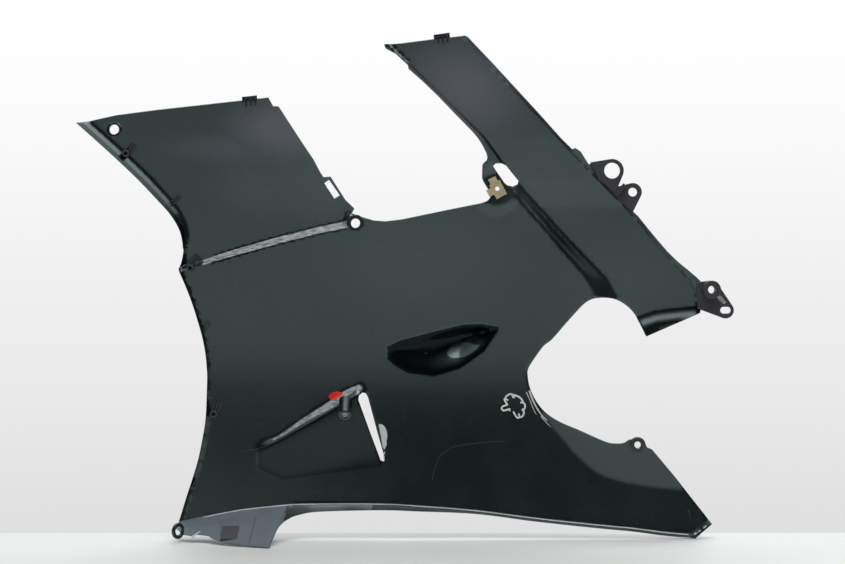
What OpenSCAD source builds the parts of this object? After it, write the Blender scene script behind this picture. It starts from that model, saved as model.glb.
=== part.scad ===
// Left side fairing panel of a motorcycle, seen on its inner face.
// One moulded sheet with a raised front lobe, a rear arm, a lower tail, an air scoop, a clearance
// recess, turned-in edges, clip bosses, ears and brackets. A folded spring nut is pushed on its edge.
// X runs along the panel towards the rear, Y points outwards from the machine, Z is up.
// The origin is the centre of the ear bore where lobe and panel meet. All sizes are in millimetres.

/* [Panel] */
// Length of the panel from the lobe's tip to the end loop
panel_l = 787; // [750:1:830]
// Height of the panel from the foot to the arm's top
panel_h = 600; // [570:1:630]

/* [Sheet] */
// Wall thickness of the moulded sheet
wall = 3; // [2.4:0.1:3.6]
// Inward lean of the sheet above its outermost line, for each millimetre of height
top_lean = 0.12; // [0.08:0.01:0.15]
// Inward lean of the sheet's rear half below that line
low_lean = 0.13; // [0.06:0.01:0.16]
// Half the height over which one lean turns into the other
bow_w = 60; // [40:5:90]
// Radius of the bow above that line, on top of the lean
top_bow_r = 4000; // [3000:100:8000]
// How far the front edge bends inwards from the middle
front_bend = 18; // [10:0.5:26]
// Outward lean of the rear half for each millimetre of length
rear_lean = 0.02; // [0:0.005:0.04]

/* [Steps and turned edges] */
// How far the lobe stands outside the main panel
lobe_step = 8; // [5:0.5:12]
// How far the rear arm stands outside the main panel
arm_step = 14; // [8:0.5:18]
// Depth of the rolled flange along the lobe's front edge
lobe_roll = 12; // [6:0.5:16]
// Depth of the lip along the panel's front edge
front_lip = 5; // [3:0.5:8]
// Depth of the lip along the arm's rear edge
arm_lip = 4; // [2:0.5:6]
// Width of that lip
lip_width = 5; // [4:0.5:6]
// Inward slope of the flange under the arm's lower end
arm_end_slope = 1.1; // [0.6:0.05:1.4]
// Inward slope of the foot flange, for each millimetre of drop
foot_slope = 2.3; // [1.8:0.05:2.5]
// Inward slope of the narrow lip along the bottom edge
bottom_slope = 1.2; // [0.6:0.05:1.6]
// Inward slope of the tail's upper facet
tail_slope = 0.2; // [0.12:0.01:0.3]

/* [Scoop and recess] */
// Height of the scoop's wall at its tip, towards the machine
scoop_h = 11; // [7:0.5:15]
// Depth of the clearance recess
recess_d = 15; // [8:0.5:18]
// Width of the recess's long lower slope
recess_slope_w = 34; // [28:1:40]
// Width of the recess's steep upper slope
recess_edge_w = 14; // [12:0.5:18]
// Outer radius of the screw post in the scoop
post_r = 8; // [7:0.1:9]
// Bore radius of the screw post
post_bore_r = 4.2; // [3:0.1:5]
// Length of the screw post
post_l = 26; // [20:1:32]
// Downward tilt of the screw post
post_tilt = 40; // [30:1:50]

/* [Ears and brackets] */
// Bore radius of the ear between lobe and panel
ear_bore_r = 5.5; // [4:0.1:6.5]
// Outer radius of that ear
ear_r = 10.5; // [9:0.1:12]
// Bore radius of the hole in the lobe's tip
lobe_bore_r = 5.8; // [4:0.1:7]
// Bore radius of the tail's ear
tail_bore_r = 4; // [3:0.1:5]
// Outer radius of the tail's ear
tail_ear_r = 9.5; // [8:0.1:11]
// Bore radius of the large hole in the arm's bracket
bracket_bore_r = 9.5; // [7:0.1:10.5]
// Outer radius around that hole
bracket_r = 14; // [12.5:0.1:16]
// Bore radius of the small hole in the arm's bracket
bracket_small_bore_r = 5.3; // [4:0.1:6.5]
// Outer radius around the small hole
bracket_small_r = 11; // [9.5:0.1:12]
// Thickness of the arm's bracket
bracket_t = 4; // [3:0.1:5]
// How far the bracket's near lug stands in front of the sheet
bracket_stand = 11; // [9:0.5:12]
// Distance between the bracket's near and far lug
bracket_drop = 7; // [6:0.5:8]
// Radius of the boss at the arm's lower end
end_boss_r = 11; // [9.5:0.1:12]
// Bore radius of that boss
end_bore_r = 4.7; // [3.5:0.1:5.5]
// Length of that boss
end_boss_l = 14; // [11:0.5:17]
// Outer radius of the loop at the arm's lower end
loop_r = 10; // [9:0.1:11]
// Width of the material round the loop's opening
loop_rim = 3.4; // [2.8:0.1:4.2]
// Bore radius of the tab at the foot's front corner
foot_bore_r = 5.2; // [4:0.1:5.6]
// Outer radius of that tab
foot_tab_r = 9.5; // [8.5:0.1:11]
// Turn of that tab away from the panel's plane
foot_tab_turn = 52; // [40:1:60]
// Width of the locating pad on the foot flange
foot_pad_w = 20; // [14:1:26]
// Length of that pad along the flange
foot_pad_l = 30; // [20:1:34]

/* [Clip bosses] */
// Outer radius of a clip boss
clip_r = 4.4; // [4:0.1:5.5]
// Bore radius of a clip boss
clip_bore_r = 2.2; // [1.8:0.1:2.8]
// Height of a clip boss
clip_h = 8; // [5:0.5:10]
// Thickness of the ribs on a clip boss
clip_rib_t = 1.6; // [1.2:0.1:2]
// Pitch of those ribs
clip_rib_pitch = 3.6; // [3:0.1:4.2]
// Length of those ribs
clip_rib_l = 12; // [9:0.5:14]
// Thickness of a hook tab
hook_t = 2.4; // [1.8:0.1:3]
// Height of a hook tab above its edge
hook_h = 4; // [3:0.5:6]

/* [Spring nut] */
// Thickness of the spring nut's sheet
nut_t = 1; // [0.8:0.1:1.2]
// Clearance between the spring nut and the sheet that it grips
nut_gap = 0.3; // [0.2:0.1:0.4]
// Length of the spring nut's body
nut_l = 19; // [17:0.5:21]
// Width of the spring nut
nut_w = 14; // [12:0.5:16]
// Radius of the thread hole in the spring nut
nut_bore_r = 2.6; // [2:0.1:3]

/* [Hidden] */
// Length and height at which the points below are drawn
drawn_l = 787;
drawn_h = 600;
along = panel_l / drawn_l;
up = panel_h / drawn_h;
// Smallest step used to measure the sheet's slope
slope_step = 1.5;
// Largest growth of the wall along Y on a steep stretch
steep_max = 2.6;
// Depth range that holds the whole sheet
cut_near = -140;
cut_far = 70;
// How far a fused piece reaches into what carries it
seat = 1.2;

// Front edge of the main panel, from the foot up to the kink under the lobe
front_low = [[-215, -366], [-210, -350], [-204, -330], [-196, -305], [-190, -284], [-185, -259],
    [-181.5, -235], [-180, -200], [-180, -176], [-183.5, -146], [-191, -116], [-200.5, -86], [-213, -55]];
// Front edge of the lobe, from the kink up to its tip
front_high = [[-213, -55], [-209.5, -46], [-207, -32], [-208, -18], [-212, -5], [-221, 10],
    [-233, 24], [-257, 50], [-283, 75.5], [-305, 96], [-322, 111.5], [-328, 117]];
lobe_top = [[-328, 117], [-282, 127.5], [-234, 134], [-186, 139.5], [-103, 149]];
lobe_rear = [[-97.5, 139], [-91, 138.8], [-66, 100], [-50, 76], [-42.5, 61.5], [-38.5, 55.5], [-30, 56],
    [-12.5, 28.5], [-1.5, 18], [-4.5, 12], [4, 9], [11.5, 6.5]];
panel_top = [[22, 3.5], [35.5, 2.5], [55, 4.7], [105, 15], [152, 24.4]];
// Front edge of the rear arm, from its root up to its tip
arm_root = [[158, 26.5], [161.5, 30.5], [162, 35], [158.5, 41.5], [152.5, 52], [152, 61], [152.5, 70],
    [157.5, 75.5], [157.5, 81], [155, 87], [148, 99], [138, 111]];
arm_front = [[121, 127.5], [99.5, 149.5], [82.5, 165.5], [64, 181.5], [63, 186], [48.5, 199],
    [44.5, 201], [37, 205], [35, 210]];
arm_top = [[55, 211.5], [94, 216.5], [130, 220.5]];
// Rear edge of the arm, from its top down to the end boss
arm_rear = [[133.5, 219], [166, 186], [219.5, 130], [245.5, 102], [259.5, 88.5], [263.5, 90], [270, 85.5],
    [278, 73.3], [292, 55], [320, 29],
    [341.5, 8.5], [353.5, -6], [365.5, -20], [377.5, -33.5], [390, -45.5], [402, -55], [414, -65], [420, -71],
    [424, -90]];
arm_end = [[419, -108.5], [353, -137]];
// Edge of the arch between arm and tail, from the arm's end round to the tail's ear
arch = [[351, -134], [342.5, -115], [338, -108], [329.5, -99.5], [317.5, -92.5], [305.5, -90], [295, -90],
    [286, -91.5], [275.5, -98], [257.5, -117.5], [238, -140], [227.5, -148.5], [215.5, -165],
    [209, -176], [208.3, -184], [211, -199], [218.5, -215], [229, -228], [245, -239], [269.5, -249.5],
    [300, -263], [312.5, -265.7], [323.5, -265], [332, -260]];
tail_rear = [[348, -262], [352, -270.5], [358, -273], [387, -307.5], [430, -362.5]];
// Bottom edge from the tail forwards to the foot's rear side
bottom_edge = [[409, -379.6], [375, -377], [332, -371.5], [294.5, -368], [216, -359.5], [146, -350.5],
    [77.5, -347], [29.5, -345.5], [-42.5, -347.3], [-66, -350], [-79.5, -354], [-89.5, -361], [-94, -370],
    [-98, -380]];
foot_edge = [[-149, -377], [-167, -374], [-173, -371.5], [-190, -371], [-194, -372.5], [-205, -372]];

// Line where the bottom edge and the foot flange start to turn in
turn_line = [[-230, -361], [-206, -358], [-184, -353.5], [-138, -345], [-90, -340], [-66, -338.5],
    [29.5, -338], [78, -340.5], [146, -346], [216, -355], [294.5, -363.5], [332, -367],
    [375, -372.5], [402, -374.8], [412, -369], [430, -355], [440, -347]];
// Slope of the turned-in stretch along the panel: full on the foot, slight on the lip
turn_share = [[-100, 1], [-85, 0.8], [-70, 0.4], [-50, 0]];
// Lower and upper line of the step between panel and lobe
step_low = [[-230, -63], [-183, -50], [-138, -37], [-90, -24], [-42, -12], [-11, -6], [2, 2], [14, 12],
    [155, 30], [200, 32], [330, 10], [460, -40]];
step_high = [[-230, -57], [-186, -45], [-162, -36.5], [-138, -29], [-90, -15.5], [-42, -3.5], [-11, 3],
    [2, 10], [14, 20], [155, 38], [200, 41], [330, 20], [460, -30]];
// Width of the turned front edge, by height
front_width = [[-60, 4.5], [-30, 6], [24, 16], [60, 18], [130, 18]];
// Front and rear line of the sloping wall between panel and arm, by height
wall_front = [[-237, 287], [-92, 287], [-74, 281], [-57.5, 269.6], [-30, 245.6], [-1, 221.6], [24, 197.6],
    [40, 184], [52, 181], [62, 180], [79, 168.5], [103, 151], [184, 66], [230, 18]];
wall_rear = [[-237, 322], [-92, 322], [-68, 308], [-54, 293.5], [-30, 269.5], [-6, 245.5], [13, 229],
    [24, 220], [35, 209.5], [55, 191.5], [79, 173.5], [103, 155.5], [184, 70.5], [230, 22.5]];
// Share of the arm's step, by height: small at the top, full at the arch, none at the tail
step_share = [[-225, 0], [-125, 1], [20, 0.95], [55, 0.65], [103, 0.45], [210, 0.3]];
// Line where the arm's rear lip starts, by height
lip_line = [[-380, 430], [-190, 430], [-108, 420.7], [-92, 416], [-80, 411], [-66, 401.5], [-52.7, 389.5],
    [-27.5, 365.5], [1.3, 341.5], [26.5, 317], [51.7, 291], [67.3, 275], [86.5, 256], [219, 128]];
// The arm's rear lip and end flange start above and behind these places
lip_floor = -150;
end_from = [335, -160];
// Line where the flange under the arm's lower end starts
end_line = [[230, -75], [300, -88], [343, -113], [365.5, -105.5], [390, -102.5], [417, -100], [460, -99]];
// Crease between the tail's upper facet and the panel
tail_line = [[208, -150], [215, -205], [230, -237.5], [243, -253], [263.5, -278], [273, -287], [286, -298.7],
    [304, -308.3], [327, -314.7], [355, -319.6], [397, -323.5], [460, -326]];
tail_from = [208, -180];
// Upper and lower line of the scoop's wall, and the soft lower border of the scoop
scoop_high = [[-230, -285], [-140, -270], [-96, -257], [-66, -236], [-42, -219.5], [-15, -201.5], [5, -193],
    [30, -193], [120, -198], [207, -203]];
scoop_low = [[-230, -294], [-140, -280], [-105, -268.7], [-66, -247], [-30, -227], [-10, -214], [5, -206],
    [30, -204], [120, -209], [207, -214]];
scoop_border = [[-130, -290], [-88, -310], [-18, -300], [30, -294], [60, -292]];
scoop_from = -130;
scoop_to = 60;
scoop_share = [[-122, 0], [-100, 0.5], [-66, 0.8], [-30, 0.95], [0, 1]];
// Front and rear edge of the vent slot, by height
slot_front = [[-320, 41.7], [-288, 29.8], [-216, 3], [-206, 2], [-190, 0]];
slot_rear = [[-320, 46], [-282, 34.5], [-210, 14.5], [-200, 12], [-190, 11]];
// Front and rear end of the clearance recess, and its upper and lower border
recess_from = 36;
recess_to = 174;
recess_end_w = 22;
recess_share = [[40, 0.35], [85, 0.5], [118, 1]];
recess_high = [[recess_from, -150], [53.5, -141.5], [94, -131], [129, -122.5], [150, -121.5],
    [recess_to, -125]];
recess_low = [[recess_from, -163], [48, -173], [62, -181], [94, -185.5], [125.5, -176],
    [155.5, -155], [recess_to, -127]];

// Places of the fused pieces and holes, as [x, z]
lobe_bore_at = [-285.5, 110.5];
tail_ear_at = [340.5, -267.5];
ring_rise = 1.5;
ring_w = 3;
bracket_at = [308, 63];
bracket_small_at = [333.5, 37.5];
bracket_root = [300, 44];
near_lug_root = [[282, 73], [292, 52], [312, 36]];
far_lug_root = [[306, 42], [318, 27], [334, 14], [330, 44]];
bracket_wall = [[280, 70], [284, 73], [295, 62], [316, 41], [322, 48], [325, 44], [314, 31]];
end_boss_at = [431, -80];
loop_at = [449, -105];
loop_slot = 5;
end_root = [415, -88];
end_root_lug = [[408, -68], [411, -104]];
end_web_stand = 8;
end_web_t = 5;
// The foot tab hangs on the foot's front corner, and its depth is measured from the sheet above it
foot_corner = foot_edge[len(foot_edge) - 1];
foot_tab_from_corner = [-4.5, 6];
foot_tab_root = [-205, -362];
foot_tab_stand = 29;
foot_pad_at = [-147, -362];
foot_pad_t = 1.6;
post_at = [-12.5, -214];
post_sink = 2;
post_bore_l = 16;
clip_rib_h = clip_h - 1.6;
clip_bosses = [[-272, 82, 45], [-198, -54, 52], [-171.5, -230, 68]];
edge_rib_places = [[-219, 24, 40], [-182, -128, 60], [-195, -318, 65]];
edge_rib_h = 5;
edge_rib_l = 11;
// Hook tabs on the top edges: x, z, width and turn
hook_tabs = [[-134, 145.5, 18, 6], [94, 217.5, 19, 8]];
hook_root = 3;
hook_rib_t = 3.2;
hook_rib_l = 9;
hook_rib_drop = 8;
lobe_slot = [[-37.5, 48], [-31.8, 52], [-19, 33.5], [-25.5, 29.6]];
arm_slot = [[165, 68], [168, 71], [176, 71.5], [181, 69], [196, 51], [195, 47], [189, 44], [182, 45.5],
    [179, 48]];
vent_slot = [[3, -213], [4, -207.5], [8, -204.5], [12, -206], [14.5, -211], [25, -250], [34.5, -283],
    [33.5, -288], [29.8, -286.5], [17, -252]];
// Length by which a cutter passes the face that it cuts
pass = 5;

// Smooth rise from 0 to 1
function ramp(t) = t <= 0 ? 0 : t >= 1 ? 1 : t * t * (3 - 2 * t);
// The same with a straight middle and short rounded ends, for a crisp wall
slant_end = 0.2;
function slant(t) = t <= 0 ? 0 : t >= 1 ? 1
    : t < slant_end ? t * t / (2 * slant_end * (1 - slant_end))
    : t > 1 - slant_end ? 1 - (1 - t) * (1 - t) / (2 * slant_end * (1 - slant_end))
    : (t - slant_end / 2) / (1 - slant_end);
function by_height(p) = [for (q = p) [q[1], q[0]]];
edge_end = [-440, 230];
front_edge = by_height(concat(front_low, front_high, [edge_end]));
function place(p) = [p[0] * along, p[1] * up];
function places_of(p) = [for (q = p) place(q)];

// Smooth curve through hand-set points, with a few steps between each two
function curve(p, n) = [for (k = [0 : len(p) - 2]) for (i = [0 : n - 1])
    let (a = p[max(k - 1, 0)], b = p[k], c = p[k + 1], d = p[min(k + 2, len(p) - 1)], t = i / n)
    0.5 * (2 * b + (c - a) * t + (2 * a - 5 * b + 4 * c - d) * t * t + (3 * b - a - 3 * c + d) * t * t * t)];

outline = concat(curve(front_low, 2), curve(front_high, 2), lobe_top, lobe_rear, panel_top,
    curve(arm_root, 2), arm_front, arm_top, arm_rear, arm_end, curve(arch, 2), tail_rear,
    curve(bottom_edge, 2), [bottom_edge[len(bottom_edge) - 1]], foot_edge);

// Spring nut: its place and turn on the edge, its flat seat, and its bore measured from its strap
nut_at = [160.3, 38.2];
nut_angle = 28;
nut_seat = place(nut_at) + [9, 2];
nut_seat_r = 19;
nut_seat_blend = 12;
nut_bore_local = [10.2, -2];
nut_bore_at = place(nut_at) + [nut_bore_local[0] * cos(nut_angle) - nut_bore_local[1] * sin(nut_angle),
    nut_bore_local[0] * sin(nut_angle) + nut_bore_local[1] * cos(nut_angle)];
nut_hole_r = 4;
nut_inset = 3.4;
nut_overhang = 6;
pad_inset = 5.4;
pad_w = 9.6;
pad_l = 7.6;
strap_w = 9;
strap_reach = 5;

// Height of the sheet's outermost line, and the share of the lower lean along it
bow_z = -195;
low_share = [[-200, 0.4], [-60, 0.55], [60, 1]];
// Place from which the sheet bends inwards at the front, and the length for which front_bend holds
bend_from = 60;
bend_l = 400;
// The lobe's step fades out at its rear end, clear of the ear
lobe_end = 40;
lobe_fade = 26;
ear_fade = 12;
// Height that parts the lobe's rolled flange from the panel's lip
roll_from = -30;
// Rounding where a turned edge starts
turn_soft = 3;
low_turn_soft = 2;

// Shape of the sheet's inner face: its depth along Y at each place (x, z)
function lean(x, z) = z > bow_z ? top_lean : low_lean * lookup(x, low_share);
function bowed(x, z) = -lean(x, z) * (norm([z - bow_z, bow_w]) - bow_w)
    - (z > bow_z ? pow(z - bow_z, 2) / (2 * top_bow_r) : 0)
    - (x < bend_from ? front_bend * pow((x - bend_from) / bend_l, 2) : rear_lean * (bend_from - x));
nut_level = bowed(nut_seat[0] / along, nut_seat[1] / up);
function seated(x, z) =
    let (k = ramp((nut_seat_r + nut_seat_blend - norm(place([x, z]) - nut_seat)) / nut_seat_blend))
    bowed(x, z) * (1 - k) + nut_level * k;
function lobe_part(x, z) = let (low = lookup(x, step_low), high = lookup(x, step_high))
    lobe_step * slant((z - low) / (high - low)) * ramp((lobe_end - x) / lobe_fade)
    * ramp((norm([x, z]) - ear_r) / ear_fade);
function front_turn(x, z) = let (w = lookup(z, front_width), t = (lookup(z, front_edge) + w - x) / w)
    t <= 0 ? 0 : (z > roll_from ? lobe_roll : front_lip) * t * t;
function wall_part(x, z) = let (a = lookup(z, wall_front), b = lookup(z, wall_rear))
    arm_step * lookup(z, step_share) * ramp((x - a) / (b - a));
function rear_turn(x, z) = z < lip_floor ? 0 : arm_lip * ramp((x - lookup(z, lip_line)) / lip_width);
function end_turn(x, z) = let (d = lookup(x, end_line) - z)
    x < end_from[0] || z < end_from[1] || d <= 0 ? 0 : arm_end_slope * d * d / (d + turn_soft);
function bottom_turn(x, z) = let (d = lookup(x, turn_line) - z, k = lookup(x, turn_share))
    d <= 0 ? 0 : (foot_slope * k + bottom_slope * (1 - k)) * d * d / (d + low_turn_soft);
function tail_part(x, z) = let (d = z - lookup(x, tail_line))
    x < tail_from[0] || z > tail_from[1] || d <= 0 ? 0 : tail_slope * d * d / (d + turn_soft);
function scoop_part(x, z) = let (high = lookup(x, scoop_high), low = lookup(x, scoop_low),
    border = lookup(x, scoop_border), a = lookup(z, slot_front), b = lookup(z, slot_rear))
    x < scoop_from || x > scoop_to ? 0 : scoop_h * lookup(x, scoop_share)
    * min(slant((high - z) / (high - low)), ramp((z - border) / (low - border)))
    * (1 - ramp((x - a) / (b - a)));
function recess_part(x, z) = x < recess_from || x > recess_to ? 0 :
    let (t = min((z - lookup(x, recess_low)) / recess_slope_w, (lookup(x, recess_high) - z) / recess_edge_w,
        (x - recess_from) / recess_end_w, (recess_to - x) / recess_end_w))
    recess_d * lookup(x, recess_share) * ramp(t);
function shape(x, z) = seated(x, z) + lobe_part(x, z) - front_turn(x, z) + wall_part(x, z) - rear_turn(x, z)
    - end_turn(x, z) - bottom_turn(x, z) - tail_part(x, z) - scoop_part(x, z) + recess_part(x, z);
// The near end of the ear's bore lies at the origin
ear_offset = ring_rise - shape(0, 0);
function face(x, z) = shape(x, z) + ear_offset;
// Growth of the wall along Y where the sheet is steep
function growth(x, z) = let (
    sx = (face(x + slope_step, z) - face(x - slope_step, z)) / (2 * slope_step * along),
    sz = (face(x, z + slope_step) - face(x, z - slope_step)) / (2 * slope_step * up))
    min(sqrt(1 + sx * sx + sz * sz), steep_max);

// Guide lines of the sheet's mesh. Columns follow the front edge, the arm's wall and its rear lip.
// Rows follow the bottom edge, the scoop, the recess, the step under the lobe and the top.
edge_margin = 6;
rear_margin = 12;
column_one = [[-60, -110], [0, -125], [150, -190], [230, -235]];
column_two = [[-60, 60], [60, 50], [130, 15], [230, -40]];
function column_guide(g, z) = g == 0 ? lookup(z, front_edge) - edge_margin
    : g == 1 ? lookup(z, front_edge) + lookup(z, front_width)
    : g == 2 ? lookup(z, column_one)
    : g == 3 ? lookup(z, column_two)
    : g == 4 ? lookup(z, wall_front) : g == 5 ? lookup(z, wall_rear)
    : g == 6 ? lookup(z, lip_line) : lookup(z, lip_line) + lip_width + rear_margin;
column_cells = [2, 4, 14, 12, 3, 8, 2];
row_base = [[-240, -376], [-205, -378], [-98, -386], [-88, -366], [-66, -355], [78, -352], [146, -356],
    [216, -365], [332, -377], [409, -386], [460, -388]];
top_line = [[-440, 104], [-328, 121], [-282, 132], [-103, 154], [-60, 160], [35, 215], [60, 217],
    [134, 226], [460, 226]];
recess_row_low = [[-230, -180], [36, -170], [62, -184], [94, -188.5], [125.5, -179], [155.5, -158],
    [174, -150], [230, -172], [340, -192], [460, -200]];
recess_row_high = [[-230, -110], [36, -147], [53.5, -138.5], [129, -119.5], [174, -120], [230, -130],
    [300, -132], [353, -140], [419, -112], [460, -108]];
arm_row = [[-230, -80], [200, -75], [300, -82], [343, -113], [365.5, -105.5], [390, -102.5], [417, -100],
    [460, -99]];
// Place of the arch's foremost point, and limits of the two rows that pass under it
arch_x = 207;
tail_row_gap = 8;
row_two_top = -214;
row_three_top = -203;
function row_guide(g, x) = g == 0 ? lookup(x, row_base) : g == 1 ? lookup(x, turn_line)
    : g == 2 ? (x < arch_x ? lookup(x, scoop_low) : min(lookup(x, tail_line) - tail_row_gap, row_two_top))
    : g == 3 ? (x < arch_x ? lookup(x, scoop_high) : min(lookup(x, tail_line), row_three_top))
    : g == 4 ? lookup(x, recess_row_low) : g == 5 ? lookup(x, recess_row_high) : g == 6 ? lookup(x, arm_row)
    : g == 7 ? lookup(x, step_low) : g == 8 ? lookup(x, step_high) : lookup(x, top_line);
row_cells = [3, 8, 2, 2, 5, 3, 4, 2, 13];
columns = concat([for (g = [0 : len(column_cells) - 1]) for (k = [0 : column_cells[g] - 1])
    [g, k / column_cells[g]]], [[len(column_cells) - 1, 1]]);
rows = concat([for (g = [0 : len(row_cells) - 1]) for (k = [0 : row_cells[g] - 1])
    [g, k / row_cells[g]]], [[len(row_cells) - 1, 1]]);
function column_x(c, z) = column_guide(c[0], z) * (1 - c[1]) + column_guide(c[0] + 1, z) * c[1];
function row_z(r, x) = row_guide(r[0], x) * (1 - r[1]) + row_guide(r[0] + 1, x) * r[1];
// Where a column and a row cross, found by halving the step towards the row
function crossing(c, r, z, n) = n == 0 ? [column_x(c, z), z]
    : crossing(c, r, 0.5 * z + 0.5 * row_z(r, column_x(c, z)), n - 1);
crossing_from = 100;
crossing_steps = 24;
places = [for (r = rows) for (c = columns) crossing(c, r, row_z(r, crossing_from), crossing_steps)];
function sheet_point(p, depth) = [p[0] * along, face(p[0], p[1]) + depth, p[1] * up];
sheet_points = concat([for (p = places) sheet_point(p, 0)],
    [for (p = places) sheet_point(p, wall * growth(p[0], p[1]))]);
nc = len(columns);
nr = len(rows);
function at(s, r, c) = (s * nr + r) * nc + c;
// Two triangles of a four-sided cell, with the shorter diagonal
function cell(a, b, c, d) = norm(sheet_points[a] - sheet_points[c]) <= norm(sheet_points[b] - sheet_points[d])
    ? [[a, b, c], [a, c, d]] : [[a, b, d], [b, c, d]];
sheet_faces = concat(
    [for (r = [0 : nr - 2]) for (c = [0 : nc - 2])
        each cell(at(0, r, c), at(0, r + 1, c), at(0, r + 1, c + 1), at(0, r, c + 1))],
    [for (r = [0 : nr - 2]) for (c = [0 : nc - 2])
        each cell(at(1, r, c), at(1, r, c + 1), at(1, r + 1, c + 1), at(1, r + 1, c))],
    [for (c = [0 : nc - 2]) each cell(at(0, 0, c), at(0, 0, c + 1), at(1, 0, c + 1), at(1, 0, c))],
    [for (c = [0 : nc - 2])
        each cell(at(0, nr - 1, c), at(1, nr - 1, c), at(1, nr - 1, c + 1), at(0, nr - 1, c + 1))],
    [for (r = [0 : nr - 2]) each cell(at(0, r, 0), at(1, r, 0), at(1, r + 1, 0), at(0, r + 1, 0))],
    [for (r = [0 : nr - 2])
        each cell(at(0, r, nc - 1), at(0, r + 1, nc - 1), at(1, r + 1, nc - 1), at(1, r, nc - 1))]);

// Extrusion along Y of an outline drawn in X and Z
module plate(y_near, y_far) {
    translate([0, y_far, 0]) rotate([90, 0, 0]) linear_extrude(y_far - y_near) children();
}
// Round bar along Y round a place [x, z]
module disc(p, r, y_near, y_far) {
    plate(y_near, y_far) translate(p) circle(r = r, $fn = 64);
}
module bore(p, r) {
    disc(p, r, cut_near, cut_far);
}

module sheet() {
    intersection() {
        polyhedron(sheet_points, sheet_faces);
        plate(cut_near, cut_far) polygon(places_of(outline));
    }
}

// Seat of a fused piece: a point on the inner face
function on_face(p) = [p[0] * along, face(p[0], p[1]), p[1] * up];

// Clip boss with three ribs that point up its slope
module clip_boss(p, angle) {
    translate(on_face(p)) rotate([90, 0, 0]) translate([0, 0, -seat])
        cylinder(h = clip_h + seat, r = clip_r, $fn = 48);
    for (k = [-1 : 1])
        translate(on_face(p)) rotate([0, -angle, 0])
            translate([clip_bore_r, seat - clip_rib_h, k * clip_rib_pitch - clip_rib_t / 2])
                cube([clip_rib_l, clip_rib_h, clip_rib_t]);
}
module clip_bore(p) {
    translate(on_face(p)) rotate([90, 0, 0]) cylinder(h = clip_h + pass, r = clip_bore_r, $fn = 32);
}

// Pair of short stiffening ribs beside an edge
module edge_ribs(p, angle) {
    for (k = [-1, 1])
        translate(on_face(p)) rotate([0, -angle, 0])
            translate([0, seat - edge_rib_h, k * clip_rib_pitch / 2 - clip_rib_t / 2])
                cube([edge_rib_l, edge_rib_h, clip_rib_t]);
}

// Hook tab on a top edge, with three short ribs under it
module hook_tab(p, w, angle) {
    translate(on_face(p)) rotate([0, -angle, 0]) {
        translate([0, 0, -hook_root]) cube([w, hook_t, hook_h + hook_root]);
        for (k = [0 : 2])
            translate([w * (0.2 + 0.3 * k), seat - hook_rib_t, -hook_rib_drop])
                cube([clip_rib_t, hook_rib_t, hook_rib_l]);
    }
}

// Ring of thicker wall round a hole in the sheet
module ring_boss(p, r) {
    disc(place(p), r, face(p[0], p[1]) - ring_rise, face(p[0], p[1]) + wall + ring_rise);
}

// Screw post that leans down from the scoop, and its blind bore
module post_place() {
    translate(on_face(post_at) + [0, post_sink, 0]) rotate([90 + post_tilt, 0, 0]) children();
}
module screw_post() {
    post_place() cylinder(h = post_l, r = post_r, $fn = 64);
}
module screw_post_bore() {
    post_place() translate([0, 0, post_l - post_bore_l])
        cylinder(h = post_bore_l + pass, r = post_bore_r, $fn = 64);
}

// Bracket on the arm's rear edge: a near lug with the large hole, a far lug with the small one
bracket_near = face(bracket_root[0], bracket_root[1]) - bracket_stand;
bracket_far = bracket_near + bracket_drop;
module arm_bracket() {
    plate(bracket_near, bracket_near + bracket_t) hull() {
        translate(place(bracket_at)) circle(r = bracket_r, $fn = 48);
        polygon(places_of(near_lug_root));
    }
    plate(bracket_far, bracket_far + bracket_t) hull() {
        translate(place(bracket_small_at)) circle(r = bracket_small_r, $fn = 48);
        polygon(places_of(far_lug_root));
    }
    // Wall that carries the near lug on the sheet and on the far lug
    plate(bracket_near, bracket_far + bracket_t) polygon(places_of(bracket_wall));
}

// Boss and loop at the arm's lower end, on one web
end_web_near = face(end_root[0], end_root[1]) - end_web_stand;
end_web_far = end_web_near + end_web_t;
module end_bracket() {
    disc(place(end_boss_at), end_boss_r, end_web_far - end_boss_l, end_web_far);
    plate(end_web_near, end_web_far) hull() {
        translate(place(end_boss_at)) circle(r = end_boss_r, $fn = 48);
        translate(place(loop_at)) circle(r = loop_r, $fn = 48);
        polygon(places_of(end_root_lug));
    }
}
module loop_opening() {
    plate(end_web_near - pass, end_web_far + pass) translate(place(loop_at)) {
        for (k = [-1, 1])
            translate([k * loop_slot / 2, 0]) circle(r = loop_r - loop_rim - loop_slot / 2, $fn = 48);
        square([loop_slot, 2 * (loop_r - loop_rim) - loop_slot], center = true);
    }
}

// Tab at the foot's front corner, turned away from the panel's plane
foot_tab_y = face(foot_tab_root[0], foot_tab_root[1]) - foot_tab_stand;
module foot_tab_place() {
    translate([place(foot_corner)[0] + foot_tab_from_corner[0], foot_tab_y,
        place(foot_corner)[1] + foot_tab_from_corner[1]])
        rotate([0, 0, foot_tab_turn]) rotate([90, 0, 0]) children();
}
module foot_tab() {
    foot_tab_place() translate([0, 0, -wall / 2]) cylinder(h = wall, r = foot_tab_r, $fn = 64);
}
module foot_tab_bore() {
    foot_tab_place() translate([0, 0, -wall / 2 - pass])
        cylinder(h = wall + 2 * pass, r = foot_bore_r, $fn = 64);
}

// Locating pad that lies on the foot flange
module foot_pad() {
    translate(on_face(foot_pad_at)) rotate([-atan(foot_slope), 0, 0])
        translate([-foot_pad_w / 2, -foot_pad_t, -foot_pad_l])
            cube([foot_pad_w, foot_pad_t + seat, foot_pad_l]);
}

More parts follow.
